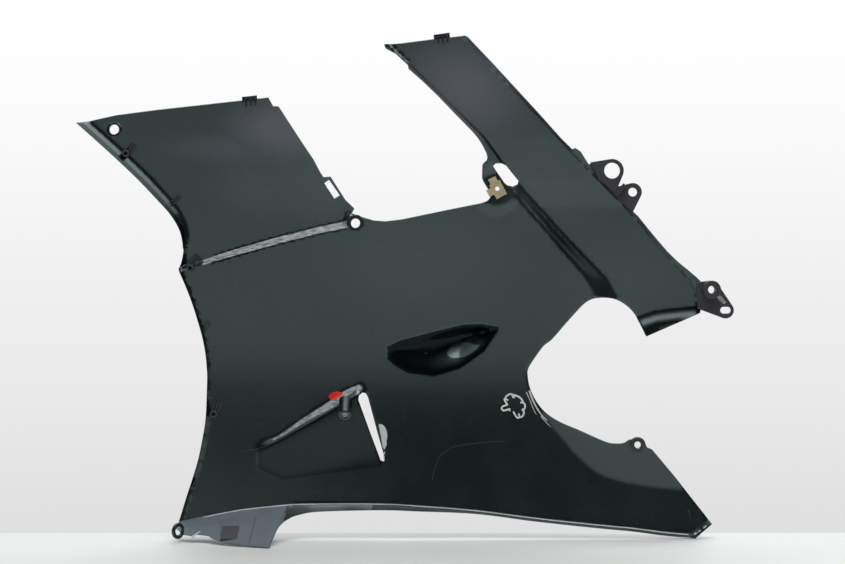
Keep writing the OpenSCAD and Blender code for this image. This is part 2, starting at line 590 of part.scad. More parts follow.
module fairing_panel() {
    color([0.13, 0.14, 0.15]) difference() {
        union() {
            sheet();
            ring_boss([0, 0], ear_r);
            ring_boss(lobe_bore_at, lobe_bore_r + ring_w);
            ring_boss(tail_ear_at, tail_ear_r);
            for (b = clip_bosses) clip_boss([b[0], b[1]], b[2]);
            for (b = edge_rib_places) edge_ribs([b[0], b[1]], b[2]);
            for (h = hook_tabs) hook_tab([h[0], h[1]], h[2], h[3]);
            screw_post();
            arm_bracket();
            end_bracket();
            foot_tab();
            foot_pad();
        }
        bore([0, 0], ear_bore_r);
        bore(place(lobe_bore_at), lobe_bore_r);
        bore(place(tail_ear_at), tail_bore_r);
        bore(place(bracket_at), bracket_bore_r);
        bore(place(bracket_small_at), bracket_small_bore_r);
        bore(place(end_boss_at), end_bore_r);
        bore(nut_bore_at, nut_hole_r);
        for (b = clip_bosses) clip_bore([b[0], b[1]]);
        screw_post_bore();
        foot_tab_bore();
        loop_opening();
        for (slot = [vent_slot, lobe_slot, arm_slot]) plate(cut_near, cut_far) polygon(places_of(slot));
    }
}

// Spring nut: a near leaf with a tongue, a strap folded over the panel's edge and a far leaf
module strap_fold(near, far) {
    intersection() {
        difference() {
            cylinder(h = strap_w, r = (far - near + nut_t) / 2, $fn = 64);
            translate([0, 0, -pass])
                cylinder(h = strap_w + 2 * pass, r = (far - near - nut_t) / 2, $fn = 64);
        }
        translate([-nut_l, -nut_l, 0]) cube([nut_l, 2 * nut_l, strap_w]);
    }
}
module spring_nut() {
    near = -nut_gap - nut_t;
    far = wall + nut_gap;
    strap_z = nut_bore_local[1] - strap_w / 2;
    color([0.75, 0.66, 0.42]) translate([place(nut_at)[0], nut_level + ear_offset, place(nut_at)[1]])
        rotate([0, -nut_angle, 0]) difference() {
            union() {
                translate([nut_inset, near, nut_overhang - nut_l]) cube([nut_w, nut_t, nut_l]);
                translate([pad_inset, near, nut_overhang - nut_t]) cube([pad_w, nut_t, pad_l]);
                translate([0, near, strap_z]) cube([strap_reach, nut_t, strap_w]);
                translate([0, far, strap_z]) cube([nut_w + nut_t * 2, nut_t, strap_w]);
                translate([0, (near + far + nut_t) / 2, strap_z]) strap_fold(near, far);
            }
            translate([nut_bore_local[0], nut_l, nut_bore_local[1]]) rotate([90, 0, 0])
                cylinder(h = 2 * nut_l, r = nut_bore_r, $fn = 48);
        }
}

fairing_panel();
spring_nut();
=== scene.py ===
"""Looks of a motorcycle side fairing panel: its inner face, turned edges, fixings, spring nut and marks."""

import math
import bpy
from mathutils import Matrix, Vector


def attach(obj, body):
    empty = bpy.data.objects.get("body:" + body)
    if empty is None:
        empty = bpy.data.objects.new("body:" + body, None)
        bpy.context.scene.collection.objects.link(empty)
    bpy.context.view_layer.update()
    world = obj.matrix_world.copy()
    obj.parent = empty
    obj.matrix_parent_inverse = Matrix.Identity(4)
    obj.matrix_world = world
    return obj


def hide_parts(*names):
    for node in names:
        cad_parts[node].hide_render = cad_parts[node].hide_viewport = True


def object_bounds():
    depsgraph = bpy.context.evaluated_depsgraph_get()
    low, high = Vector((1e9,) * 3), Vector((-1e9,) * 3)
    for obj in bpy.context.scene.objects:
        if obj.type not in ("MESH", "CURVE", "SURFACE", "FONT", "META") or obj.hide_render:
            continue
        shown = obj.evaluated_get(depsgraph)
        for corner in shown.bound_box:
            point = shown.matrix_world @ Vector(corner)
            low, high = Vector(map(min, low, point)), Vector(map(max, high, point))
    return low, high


bl_info = {
    "name": "Fairing Panel Looks",
    "version": (1, 0, 0),
    "blender": (4, 5, 0),
    "location": "3D View > Sidebar > Fairing",
    "description": "Dresses a moulded motorcycle side fairing panel around its fixed frame",
    "category": "Object",
}

import bmesh
import bpy
import numpy as np
from bpy.props import FloatProperty, PointerProperty
from mathutils import Matrix, Vector
from mathutils.geometry import delaunay_2d_cdt

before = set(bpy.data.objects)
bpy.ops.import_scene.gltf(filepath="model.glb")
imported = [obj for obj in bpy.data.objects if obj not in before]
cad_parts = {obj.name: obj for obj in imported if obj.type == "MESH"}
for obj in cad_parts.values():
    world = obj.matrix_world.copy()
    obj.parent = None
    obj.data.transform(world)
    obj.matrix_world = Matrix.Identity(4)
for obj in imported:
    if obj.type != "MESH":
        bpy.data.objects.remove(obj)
CAD_BOX = [list(corner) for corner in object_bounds()]

MM = 0.001
# Size of the photograph in pixels
PHOTO_W, PHOTO_H = 845, 564

# Sheet: its wall, its bow and the steps on it, in millimetres. They follow the solid model, apart from the
# roll of the lobe's flange, the fade round the ear and the flange at the arm's end
WALL = 3.0
TOP_LEAN = 0.12
LOW_LEAN = 0.13
BOW_W = 60.0
TOP_BOW_R = 4000.0
BOW_Z = -195.0
BOW_X = 60.0
FRONT_BEND_L = 400.0
RING_RISE = 1.5
FRONT_BEND = 18.0
REAR_LEAN = 0.02
LOBE_STEP = 8.0
LOBE_STEP_END = 40.0
LOBE_STEP_FADE = 26.0
ARM_STEP = 14.0
LOBE_ROLL = 12.0
ROLL_START = 0.2
ROLL_LOW = -30.0
FRONT_LIP = 5.0
ARM_LIP = 4.0
ARM_LIP_LOW = -150.0
ARM_END_DEPTH = 9.5
ARM_END_W = 18.0
ARM_END_X = 335.0
ARM_END_Z = -160.0
FOOT_SLOPE = 2.3
BOTTOM_SLOPE = 1.2
BOTTOM_ROUND = 2.0
TAIL_SLOPE = 0.2
TAIL_ROUND = 3.0
TAIL_X = 208.0
TAIL_Z = -180.0
SCOOP_H = 11.0
SCOOP_FRONT = -130.0
SCOOP_REAR = 60.0
RECESS_D = 15.0
RECESS_FRONT = 36.0
RECESS_REAR = 174.0
RECESS_SLOPE_W = 34.0
RECESS_EDGE_W = 14.0
RECESS_END_W = 22.0
LIP_WIDTH = 5.0
EAR_R = 10.5
EAR_FADE = 5.0
NUT_SEAT_R = 31.0
NUT_SEAT_FADE = 12.0
SLOPE_STEP = 1.5
STEEP_MAX = 2.6
SLANT_END = 0.2
# Meshes: gaps and areas that count as none, short mitres, and a chamfer's depth as a share of its width
TINY_GAP, MERGE_GAP, SLIVER, NOT_ZERO = 1e-6, 1e-4, 1e-7, 1e-9
LOOP_MITRE_MIN, LOOP_MITRE_MAX = 0.3, 1.6
RIM_MITRE_MIN, RIM_MITRE_MAX = 0.4, 1.5
CHAMFER_DEPTH = 0.8
# The sheet's mesh: the reach of its grid, spacings as shares of a cell, and points measured at once
GRID_X, GRID_Z = (-335, 470), (-385, 230)
OUTLINE_CELL, LINE_CELL, ROW_CELL, CLEAR_CELL = 0.8, 0.7, 0.87, 0.45
MEASURED_AT_ONCE = 200
# Angles in degrees above which an edge stays sharp
SHEET_SHARP, FIXING_SHARP = 40, 30

# Outline of the sheet as [x, z] places, from the foot round the front, top, arm, arch and tail
FRONT_LOW = [[-215, -366], [-210, -350], [-204, -330], [-196, -305], [-190, -284], [-185, -259],
             [-181.5, -235], [-180, -200], [-180, -176], [-183.5, -146], [-191, -116], [-200.5, -86],
             [-213, -55]]
FRONT_HIGH = [[-213, -55], [-209.5, -46], [-207, -32], [-208, -18], [-212, -5], [-221, 10],
              [-233, 24], [-257, 50], [-283, 75.5], [-305, 96], [-322, 111.5], [-328, 117]]
LOBE_TOP = [[-328, 117], [-282, 127.5], [-234, 134], [-186, 139.5], [-103, 149]]
LOBE_REAR = [[-97.5, 139], [-91, 138.8], [-66, 100], [-50, 76], [-42.5, 61.5], [-38.5, 55.5], [-30, 56],
             [-12.5, 28.5], [-1.5, 18], [-4.5, 12], [4, 9], [11.5, 6.5]]
PANEL_TOP = [[22, 3.5], [35.5, 2.5], [55, 4.7], [105, 15], [152, 24.4]]
ARM_ROOT = [[158, 26.5], [161.5, 30.5], [162, 35], [158.5, 41.5], [152.5, 52], [152, 61], [152.5, 70],
            [157.5, 75.5], [157.5, 81], [155, 87], [148, 99], [138, 111]]
ARM_FRONT = [[121, 127.5], [99.5, 149.5], [82.5, 165.5], [64, 181.5], [63, 186], [48.5, 199],
             [44.5, 201], [37, 205], [35, 210]]
ARM_TOP = [[55, 211.5], [94, 216.5], [130, 220.5], [133.5, 219]]
ARM_REAR = [[133.5, 219], [166, 186], [219.5, 130], [245.5, 102], [259.5, 88.5], [263.5, 90], [270, 85.5],
            [278, 73.3], [292, 55], [320, 29], [341.5, 8.5], [353.5, -6], [365.5, -20], [377.5, -33.5],
            [390, -45.5], [402, -55], [414, -65], [420, -71], [424, -90]]
ARM_END = [[419, -108.5], [353, -137], [351, -134]]
ARCH = [[351, -134], [342.5, -115], [338, -108], [329.5, -99.5], [317.5, -92.5], [305.5, -90], [295, -90],
        [286, -91.5], [275.5, -98], [257.5, -117.5], [238, -140], [227.5, -148.5], [215.5, -165],
        [209, -176], [208.3, -184], [211, -199], [218.5, -215], [229, -228], [245, -239], [269.5, -249.5],
        [300, -263], [312.5, -265.7], [323.5, -265], [332, -260]]
TAIL_REAR = [[348, -262], [352, -270.5], [358, -273], [387, -307.5], [430, -362.5], [409, -379.6]]
BOTTOM_EDGE = [[409, -379.6], [375, -377], [332, -371.5], [294.5, -368], [216, -359.5], [146, -350.5],
               [77.5, -347], [29.5, -345.5], [-42.5, -347.3], [-66, -350], [-79.5, -354], [-89.5, -361],
               [-94, -370], [-98, -380]]
FOOT_EDGE = [[-149, -377], [-167, -374], [-173, -371.5], [-190, -371], [-194, -372.5], [-205, -372]]

# Lines on the sheet as [x, z] places
TURN_LINE = [[-230, -361], [-206, -358], [-184, -353.5], [-138, -345], [-90, -340], [-66, -338.5],
             [29.5, -338], [78, -340.5], [146, -346], [216, -355], [294.5, -363.5], [332, -367],
             [375, -372.5], [402, -374.8], [412, -369], [430, -355], [440, -347]]
STEP_LOW = [[-230, -63], [-183, -50], [-138, -37], [-90, -24], [-42, -12], [-11, -6], [2, 2], [14, 12],
            [155, 30], [200, 32], [330, 10], [460, -40]]
STEP_HIGH = [[-230, -57], [-186, -45], [-162, -36.5], [-138, -29], [-90, -15.5], [-42, -3.5], [-11, 3],
             [2, 10], [14, 20], [155, 38], [200, 41], [330, 20], [460, -30]]
END_LINE = [[230, -75], [300, -88], [343, -113], [365.5, -105.5], [390, -102.5], [417, -100], [460, -99]]
TAIL_LINE = [[208, -150], [215, -205], [230, -237.5], [243, -253], [263.5, -278], [273, -287], [286, -298.7],
             [304, -308.3], [327, -314.7], [355, -319.6], [397, -323.5], [460, -326]]
SCOOP_HIGH = [[-230, -285], [-140, -270], [-96, -257], [-66, -236], [-42, -219.5], [-15, -201.5], [5, -193],
              [30, -193], [120, -198], [207, -203]]
SCOOP_LOW = [[-230, -294], [-140, -280], [-105, -268.7], [-66, -247], [-30, -227], [-10, -214], [5, -206],
             [30, -204], [120, -209], [207, -214]]
SCOOP_EDGE = [[-130, -290], [-88, -310], [-18, -300], [30, -294], [60, -292]]
RECESS_HIGH = [[36, -150], [53.5, -141.5], [94, -131], [129, -122.5], [150, -121.5], [174, -125]]
RECESS_LOW = [[36, -163], [48, -173], [62, -181], [94, -185.5], [125.5, -176], [155.5, -155], [174, -127]]
# Shares along the sheet as [x, share]
TURN_SHARE = [[-100, 1], [-85, 0.8], [-70, 0.4], [-50, 0]]
LOW_SHARE = [[-200, 0.4], [-60, 0.55], [60, 1]]
SCOOP_SHARE = [[-122, 0], [-100, 0.5], [-66, 0.8], [-30, 0.95], [0, 1]]
RECESS_SHARE = [[40, 0.35], [85, 0.5], [118, 1]]
# Lines and shares by height, as [z, x] or [z, share]
FRONT_WIDTH = [[-60, 4.5], [-30, 6], [24, 16], [60, 18], [130, 18]]
WALL_FRONT = [[-237, 287], [-92, 287], [-74, 281], [-57.5, 269.6], [-30, 245.6], [-1, 221.6], [24, 197.6],
              [40, 184], [52, 181], [62, 180], [79, 168.5], [103, 151], [184, 66], [230, 18]]
WALL_REAR = [[-237, 322], [-92, 322], [-68, 308], [-54, 293.5], [-30, 269.5], [-6, 245.5], [13, 229],
             [24, 220], [35, 209.5], [55, 191.5], [79, 173.5], [103, 155.5], [184, 70.5], [230, 22.5]]
STEP_SHARE = [[-225, 0], [-125, 1], [20, 0.95], [55, 0.65], [103, 0.45], [210, 0.3]]
LIP_LINE = [[-380, 430], [-190, 430], [-108, 420.7], [-92, 416], [-80, 411], [-66, 401.5], [-52.7, 389.5],
            [-27.5, 365.5], [1.3, 341.5], [26.5, 317], [51.7, 291], [67.3, 275], [86.5, 256], [219, 128]]
SLOT_FRONT = [[-320, 41.7], [-288, 29.8], [-216, 3], [-206, 2], [-190, 0]]
SLOT_REAR = [[-320, 46], [-282, 34.5], [-210, 14.5], [-200, 12], [-190, 11]]

# Thin films that lighten the black plastic, partly dust and partly painted sheen: a colour, and each patch's
# centre, reach along X, Y and Z, and strength
DUST_AND_SHEEN_FILMS = (("#3d4848", (((-35, 0, 62), (90, 90, 75), 0.9), ((-120, 0, 45), (80, 90, 50), 0.4))),
         ("#26302f", (((70, 0, -30), (190, 90, 110), 0.8), ((225, 0, 60), (120, 90, 110), 0.7),
                      ((330, 0, -60), (110, 90, 90), 0.6), ((-60, 0, 50), (90, 80, 70), 0.7))),
         ("#5a5460", (((130, 0, 165), (110, 90, 90), 0.9), ((-90, 0, 115), (90, 80, 50), 0.9),
                      ((-150, 0, 90), (110, 80, 26), 0.35))))
# Spot in the recess that keeps the plain skin among its painted shade, so that its highlight shows, as pixels
# of the photograph
RECESS_SHINE = [(447, 354), (449, 348), (454, 343.5), (462, 342), (470, 342.6), (475, 344.5), (480, 345),
                (476, 350), (470, 354), (464, 357), (456, 358), (450, 357.5), (447, 354)]
# Part of the scoop's wall that is scuffed and painted pale as the reflection of the overhead light, as pixels
# of the photograph
SCOOP_WORN_AND_SHEEN = [(273, 439.6), (282, 433.6), (290, 428.2), (300, 420), (310, 414), (320, 407.5), (330, 401),
              (340, 393.5), (350, 388), (360, 384.6), (357.6, 389), (352, 393), (346, 396.6), (341, 399.6),
              (337, 405.6), (330, 409), (320, 414.4), (310, 419.4), (300, 425.4), (290, 431.6),
              (282, 436.4), (273, 440.4)]
# Outer share of the lobe's rolled flange that has the shaded skin, a painted shade
FLANGE_SHADE_SHARE = 0.42
# Rear end of the foot flange's matt skin with its painted sheen, and front end of the deepest painted shade
# on the bottom lip
FOOT_SHEEN_X = -85.0
DEEP_SHADE_LIP_X = 20
# Zones of the step's scuffed wall with its painted reflection, and of the painted shade on the scoop and in
# the recess, by their ends in X
STEP_WORN_AND_SHEEN_X = (-184, -6)
SCOOP_SHADE_X = -118
RECESS_SHADE_X = (38, 172)
# Finishes of the sheet in the order of its material slots
SHEET_FINISHES = ("abs", "paint", "matt", "worn_and_sheen", "painted_shade", "painted_deep_shade")
# Slots of the matt skin with painted sheen, the scuffed skin with painted reflection, and the two shaded
# copies of the plastic that give painted shade
MATT_SHEEN, WORN_AND_SHEEN, PAINTED_SHADE, PAINTED_DEEP_SHADE = 2, 3, 4, 5
# Sharp lines that the mesh follows: a line, the ends of its stretch, and whether those are heights
FOLLOWED = [(STEP_LOW, -225, 6, False), (STEP_HIGH, -225, 6, False), (TURN_LINE, -225, 435, False),
            (END_LINE, 343, 422, False), (TAIL_LINE, 232, 425, False), (SCOOP_HIGH, SCOOP_SHADE_X, 2, False),
            (SCOOP_LOW, SCOOP_SHADE_X, 0, False), (WALL_FRONT, -91, 184, True), (WALL_REAR, -92, 184, True),
            (LIP_LINE, -105, 215, True), (SCOOP_EDGE, SCOOP_SHADE_X, 40, False),
            (RECESS_LOW, *RECESS_SHADE_X, False), (RECESS_HIGH, *RECESS_SHADE_X, False)]
# Steep walls with lines of mesh along them: their low and high lines, and their ends in X
FOLLOWED_WALLS = [(STEP_LOW, STEP_HIGH, -222, 2), (SCOOP_LOW, SCOOP_HIGH, -112, -4)]
FOLLOWED_WALL_POINTS = 60
# Heights between which the mesh follows the border of the painted shade on the lobe's flange, and its number
# of points
FLANGE_HEIGHTS = (ROLL_LOW, 190, 90)

# Slots and round holes through the sheet
LOBE_SLOT = [[-37.5, 48], [-31.8, 52], [-19, 33.5], [-25.5, 29.6]]
ARM_SLOT = [[165, 68], [168, 71], [176, 71.5], [181, 69], [196, 51], [195, 47], [189, 44], [182, 45.5],
            [179, 48]]
VENT_SLOT = [[3, -213], [4, -207.5], [8, -204.5], [12, -206], [14.5, -211], [25, -250], [34.5, -283],
             [33.5, -288], [29.8, -286.5], [17, -252]]
# Middle of the spring nut's level seat, and its bore
NUT_SEAT = (169.3, 40.2)
NUT_BORE_AT = (170.245, 41.223)
EAR_AT = (0.0, 0.0)
LOBE_BORE_AT = (-285.5, 110.5)
TAIL_EAR_AT = (340.5, -267.5)
# Ringed holes as (x, z, radius of the ring, radius of the bore), and the holes in the sheet itself
RING_HOLES = [(*EAR_AT, 10.5, 5.5), (*LOBE_BORE_AT, 8.8, 5.8), (*TAIL_EAR_AT, 9.5, 4.0)]
SHEET_HOLES = [(x, z, r) for x, z, _, r in RING_HOLES] + [(*NUT_BORE_AT, 4.0)]

# Where the photograph was taken from: distance and place in millimetres, focal length in pixels
VIEW_DISTANCE, VIEW_FOCAL, VIEW_X, VIEW_Z = 2200.0, 1833.0, 80.5, -70.7
# Rounds in which a pixel's place on the face is found
VIEW_ROUNDS = 8
# Marks as pixels of the photograph: strokes with their widths in millimetres, and patches
MARKER_STROKES = [
    (1.9, 1.9, [(509.6, 411.2), (509.4, 409.0), (506, 410.2), (503, 410.4), (501.6, 407.6), (504.5, 405.6),
                (507.4, 404.8), (505.6, 402), (504.4, 399.2), (505.6, 398.6)]),
    (1.9, 1.9, [(508.2, 400.2), (505.4, 398.5), (507.2, 395.6), (510, 394.2), (514, 395), (518, 396.4),
                (521.4, 399), (522.8, 402), (520.4, 402.6)]),
    (1.6, 1.6, [(512.2, 395.4), (513.7, 397.8), (515, 395.6)]),
    (1.9, 1.9, [(522.6, 402.2), (525, 404.8), (524.4, 408.8), (522.4, 409.6), (524, 412.4), (522.6, 416),
                (520, 417.2), (518.6, 413.4)]),
    (1.9, 1.9, [(520, 417), (517.6, 417.8), (515.2, 415.2), (513.4, 411.6)])]
RED_PATCHES = [[(328.6, 396.6), (331.5, 393.2), (336, 391.6), (342.6, 392.4), (343.4, 394.4), (338.5, 397.4),
                (333.4, 400.2), (330, 399.2)]]
SCUFF_STROKES = [(1.3, 0.4, [(384.8, 452), (383.6, 456), (384.6, 461)]),
                 (0.9, 0.5, [(526.2, 392), (529.4, 399), (533, 408), (536.5, 415)]),
                 (2.4, 0.9, [(529.4, 390.5), (532, 398), (536, 406.5), (541.5, 415), (547, 420.4)]),
                 (1.0, 0.4, [(541, 416.5), (545.5, 421.5), (550.5, 427)])]
SCUFF_PATCHES = [[(378.6, 424), (382, 424.4), (385, 427), (386.8, 431.6), (387.4, 437), (386.4, 441),
                  (386.8, 444.6), (384.6, 449.6), (382.4, 447), (381.8, 441), (380.8, 436), (379.4, 429)]]
# Painted glare along the foot's lower edge and at the tail's corner
GLARE_STROKES = [(3.0, 0.8, [(191.6, 537.6), (195, 535), (200.4, 531.2)]),
                  (1.6, 1.0, [(694, 534.6), (702, 529), (709, 523.6)])]
SEAM_STROKES = [(0.7, 0.5, [(285, 511), (283, 517), (281, 524)]),
                (0.5, 0.4, [(256.4, 516), (252.4, 530), (248.4, 545)]),
                (0.4, 0.3, [(221.8, 521), (221, 531), (220.4, 535)])]
SCRATCH_STROKES = [(0.6, 0.3, [(424, 352.6), (425.6, 353.2), (427.5, 353)]),
                   (0.7, 0.4, [(497.6, 333), (499, 329.5), (500.4, 326.4)]),
                   (0.5, 0.3, [(432, 480), (435.5, 466), (441, 455), (450, 449)]),
                   (0.4, 0.3, [(450, 447.5), (466, 444.6), (486, 442.2), (505, 441)]),
                   (0.5, 0.3, [(240, 451.2), (250, 450), (260, 448.2), (270, 445.6)]),
                   (0.5, 0.3, [(688, 510), (690, 515), (691, 520)])]

# Film of a mark: its height over the face, the spacing of its mesh, its inset, its root and its edge
FILM_H, FILM_CELL, FILM_INSET, FILM_ROOT, FILM_EDGE = 0.12, 2.5, 0.8, 0.3, 0.04
# Painted highlight along the bend of the bottom lip: its ends, drop below the bend, widths and height
BEND_X, BEND_DROP, BEND_W, BEND_H = (-200, 405), 0.8, (1.0, 1.2), 0.8

# Moulded fixings: how deep they are set into the sheet, corners of a round one, and their edges
SEAT = 1.2
ROUND_N = 64
FIXING_EDGE, SMALL_EDGE = 0.6, 0.3
CLIP_R, CLIP_BORE_R, CLIP_H, CLIP_FLOOR, CLIP_EDGE = 4.4, 2.2, 8.0, 0.5, 0.4
CLIP_RIBS, CLIP_RIB_PITCH, CLIP_RIB_L, CLIP_RIB_H, CLIP_RIB_T = 3, 3.6, 12.0, 6.4, 1.6
# Places on the sheet as (x, z, angle)
CLIP_BOSSES = [(-272, 82, 45), (-198, -54, 52), (-171.5, -230, 68)]
EDGE_RIB_PLACES = [(-219, 24, 40), (-182, -128, 60), (-195, -318, 65)]
EDGE_RIBS, EDGE_RIB_H, EDGE_RIB_L = 2, 5.0, 11.0
RIB_EDGE = 0.25
# Hook tabs as (x, z, width, angle)
HOOK_TABS = [(-134, 145.5, 18, 6), (94, 217.5, 19, 8)]
HOOK_T, HOOK_H, HOOK_ROOT = 2.4, 4.0, 3.0
HOOK_RIBS, HOOK_RIB_PITCH, HOOK_RIB_L, HOOK_RIB_H, HOOK_RIB_START, HOOK_RIB_DROP = 3, 5.5, 9.0, 3.2, 0.2, 3.5
POST_AT = (-12.5, -214)
POST_R, POST_BORE_R, POST_L, POST_BORE_L, POST_TILT, POST_SINK = 8.0, 4.2, 26.0, 16.0, 40.0, 2.0
POST_EDGE = 0.8
# Disc inside the screw post's mouth, painted pale as light in the bore: how far its two faces lie below the
# mouth, and its play
POST_DISC, POST_DISC_GAP = (2.2, 1.4), 0.1
# Bracket on the arm's rear edge: a near lug with the large hole, a far lug with the small one, and a wall
BRACKET_AT, BRACKET_RISE, BRACKET_STEP, LUG_T = (300, 44), 11, 7, 4
NEAR_LUG_AT, NEAR_LUG_R, NEAR_LUG_BORE_R = (308, 63), 14, 9.5
NEAR_LUG_ROOT = [[282, 73], [292, 52], [312, 36]]
FAR_LUG_AT, FAR_LUG_R, FAR_LUG_BORE_R = (333.5, 37.5), 11, 5.3
FAR_LUG_ROOT = [[306, 42], [318, 27], [334, 14], [330, 44]]
LUG_WALL = [[280, 70], [284, 73], [295, 62], [316, 41], [322, 48], [325, 44], [314, 31]]
LUG_WALL_NEAR, LUG_WALL_FAR = 0.6, 3.7
# Bracket at the arm's end: a web with a boss and a loop, and the pale patch on its neck
END_AT, END_RISE, END_WEB_T = (415, -88), 8, 5
END_BOSS_AT, END_BOSS_R, END_BOSS_BORE_R, END_BOSS_H = (431, -80), 11, 4.7, 14
END_BOSS_CHAMFER = 0.5
END_LOOP_AT, END_LOOP_R, END_LOOP_BORE_R, END_LOOP_HALF = (449, -105), 10, 4.1, 2.5
END_ROOT = [[413, -71], [415, -103]]
NECK = [[440, -83.5], [445, -89.5], [450, -96], [446.5, -97.5], [441, -93], [437, -88]]
NECK_H, NECK_ROOT, NECK_EDGE = 0.15, 0.3, 0.05
# Tab at the corner of the foot flange, and locating pad on the flange
FOOT_CORNER, FOOT_TAB_AT, FOOT_TAB_OUT, FOOT_TAB_TURN = (-205, -362), (-209.5, -366), 29, 52
FOOT_TAB_R, FOOT_TAB_BORE_R, FOOT_TAB_T = 9.5, 5.2, 3.0
PAD_AT, PAD_W, PAD_L, PAD_NEAR, PAD_FAR = (-147, -362), 20, 30, -1.6, 0.8

# Index of refraction, matched to the photograph's sheen: real ABS is near 1.5. The two lower ones give shaded
# copies of the plastic that mirror less, as painted shade
PLAIN_IOR, PAINTED_SHADE_IOR, PAINTED_DEEP_SHADE_IOR, MATT_IOR = 1.9, 1.55, 1.3, 1.52

# Stage: camera, gap under the part, and softboxes as name, place, target, width, height and power setting
SENSOR_W, CLIP_START = 36.0, 0.05
TABLE_GAP = 0.3
SOFTBOXES = (("overhead_softbox", (0.1, -0.5, 1.7), (0.05, -0.15, -0.3), 1.8, 1.2, "key_power"),
             ("side_softbox", (1.45, -0.42, 1.5), (-0.2, 0.0, 0.05), 1.1, 0.9, "side_power"),
             ("rear_softbox", (0.2, 0.9, 1.5), (0.1, -0.7, -0.35), 1.4, 1.0, "fill_power"))


def linear(hex_colour):
    """An sRGB hex colour as linear RGBA."""
    parts = [int(hex_colour[i:i + 2], 16) / 255 for i in (1, 3, 5)]
    return [c / 12.92 if c <= 0.04045 else ((c + 0.055) / 1.055) ** 2.4 for c in parts] + [1.0]


def along(values, table):
    """Straight-line values between the points of a table, held at its ends."""
    rows = sorted(table)
    return np.interp(values, [r[0] for r in rows], [r[1] for r in rows])


def ramp(t):
    """Soft rise from 0 to 1."""
    t = np.clip(t, 0, 1)
    return t * t * (3 - 2 * t)


def slant(t):
    """A rise with a straight middle and short rounded ends, for a crisp wall."""
    t = np.clip(t, 0, 1)
    end = SLANT_END
    rounded = np.where(t < 0.5, t * t, (1 - t) ** 2) / (2 * end * (1 - end))
    middle = (t - end / 2) / (1 - end)
    return np.where(t < end, rounded, np.where(t > 1 - end, 1 - rounded, middle))


def by_height(points):
    """Points with their X and Z exchanged."""
    return [[p[1], p[0]] for p in points]


FRONT_EDGE = by_height(FRONT_LOW + FRONT_HIGH[1:] + [[-440, 230]])


def bowed(x, z):
    """The sheet without its steps: two leans from top to bottom, a front bend and a rear lean."""
    lean = np.where(z > BOW_Z, TOP_LEAN, LOW_LEAN * along(x, LOW_SHARE))
    front = np.where(x < BOW_X, FRONT_BEND * ((x - BOW_X) / FRONT_BEND_L) ** 2, 0)
    rear = np.where(x > BOW_X, REAR_LEAN * (x - BOW_X), 0)
    top = np.maximum(z - BOW_Z, 0) ** 2 / (2 * TOP_BOW_R)
    return -lean * (np.hypot(z - BOW_Z, BOW_W) - BOW_W) - top - front + rear


def seated(x, z):
    """The bowed sheet with a flat seat for the spring nut."""
    level = bowed(*NUT_SEAT)
    k = ramp((NUT_SEAT_R - np.hypot(x - NUT_SEAT[0], z - NUT_SEAT[1])) / NUT_SEAT_FADE)
    return bowed(x, z) * (1 - k) + level * k


def lobe_part(x, z):
    """Step under the lobe, which fades out round the ear and towards the rear."""
    low, high = along(x, STEP_LOW), along(x, STEP_HIGH)
    clear = ramp((LOBE_STEP_END - x) / LOBE_STEP_FADE) * ramp((np.hypot(x, z) - EAR_R) / EAR_FADE)
    return LOBE_STEP * slant((z - low) / (high - low)) * clear


def front_turn(x, z):
    """Rolled flange at the front of the lobe, and a low lip below it."""
    w = along(z, FRONT_WIDTH)
    t = np.maximum((along(z, FRONT_EDGE) + w - x) / w, 0)
    roll = LOBE_ROLL * (1 + ROLL_START) * t * t / (t + ROLL_START)
    return np.where(z > ROLL_LOW, roll, FRONT_LIP * t * t)


def wall_part(x, z):
    """Sloped wall of the rear arm."""
    a, b = along(z, WALL_FRONT), along(z, WALL_REAR)
    return ARM_STEP * along(z, STEP_SHARE) * ramp((x - a) / (b - a))


def rear_turn(x, z):
    """Lip along the arm's rear edge."""
    return np.where(z < ARM_LIP_LOW, 0, ARM_LIP * ramp((x - along(z, LIP_LINE)) / LIP_WIDTH))


def end_turn(x, z):
    """Flange at the arm's end."""
    d = np.maximum(along(x, END_LINE) - z, 0)
    return np.where((x < ARM_END_X) | (z < ARM_END_Z), 0, ARM_END_DEPTH * ramp(d / ARM_END_W))


def bottom_turn(x, z):
    """Turned bottom edge, steeper along the foot flange."""
    d = np.maximum(along(x, TURN_LINE) - z, 0)
    k = along(x, TURN_SHARE)
    return (FOOT_SLOPE * k + BOTTOM_SLOPE * (1 - k)) * d * d / (d + BOTTOM_ROUND)


def tail_part(x, z):
    """Lean of the tail above its crease."""
    d = np.maximum(z - along(x, TAIL_LINE), 0)
    return np.where((x < TAIL_X) | (z > TAIL_Z), 0, TAIL_SLOPE * d * d / (d + TAIL_ROUND))


def scoop_part(x, z):
    """Scoop in front of the vent slot."""
    high, low, border = along(x, SCOOP_HIGH), along(x, SCOOP_LOW), along(x, SCOOP_EDGE)
    a, b = along(z, SLOT_FRONT), along(z, SLOT_REAR)
    rise = np.minimum(slant((high - z) / (high - low)), ramp((z - border) / (low - border)))
    whole = SCOOP_H * along(x, SCOOP_SHARE) * rise * (1 - ramp((x - a) / (b - a)))
    return np.where((x < SCOOP_FRONT) | (x > SCOOP_REAR), 0, whole)


def recess_part(x, z):
    """Clearance recess."""
    t = np.minimum((z - along(x, RECESS_LOW)) / RECESS_SLOPE_W, (along(x, RECESS_HIGH) - z) / RECESS_EDGE_W)
    t = np.minimum(t, np.minimum(x - RECESS_FRONT, RECESS_REAR - x) / RECESS_END_W)
    outside = (x < RECESS_FRONT) | (x > RECESS_REAR)
    return np.where(outside, 0, RECESS_D * along(x, RECESS_SHARE) * ramp(t))


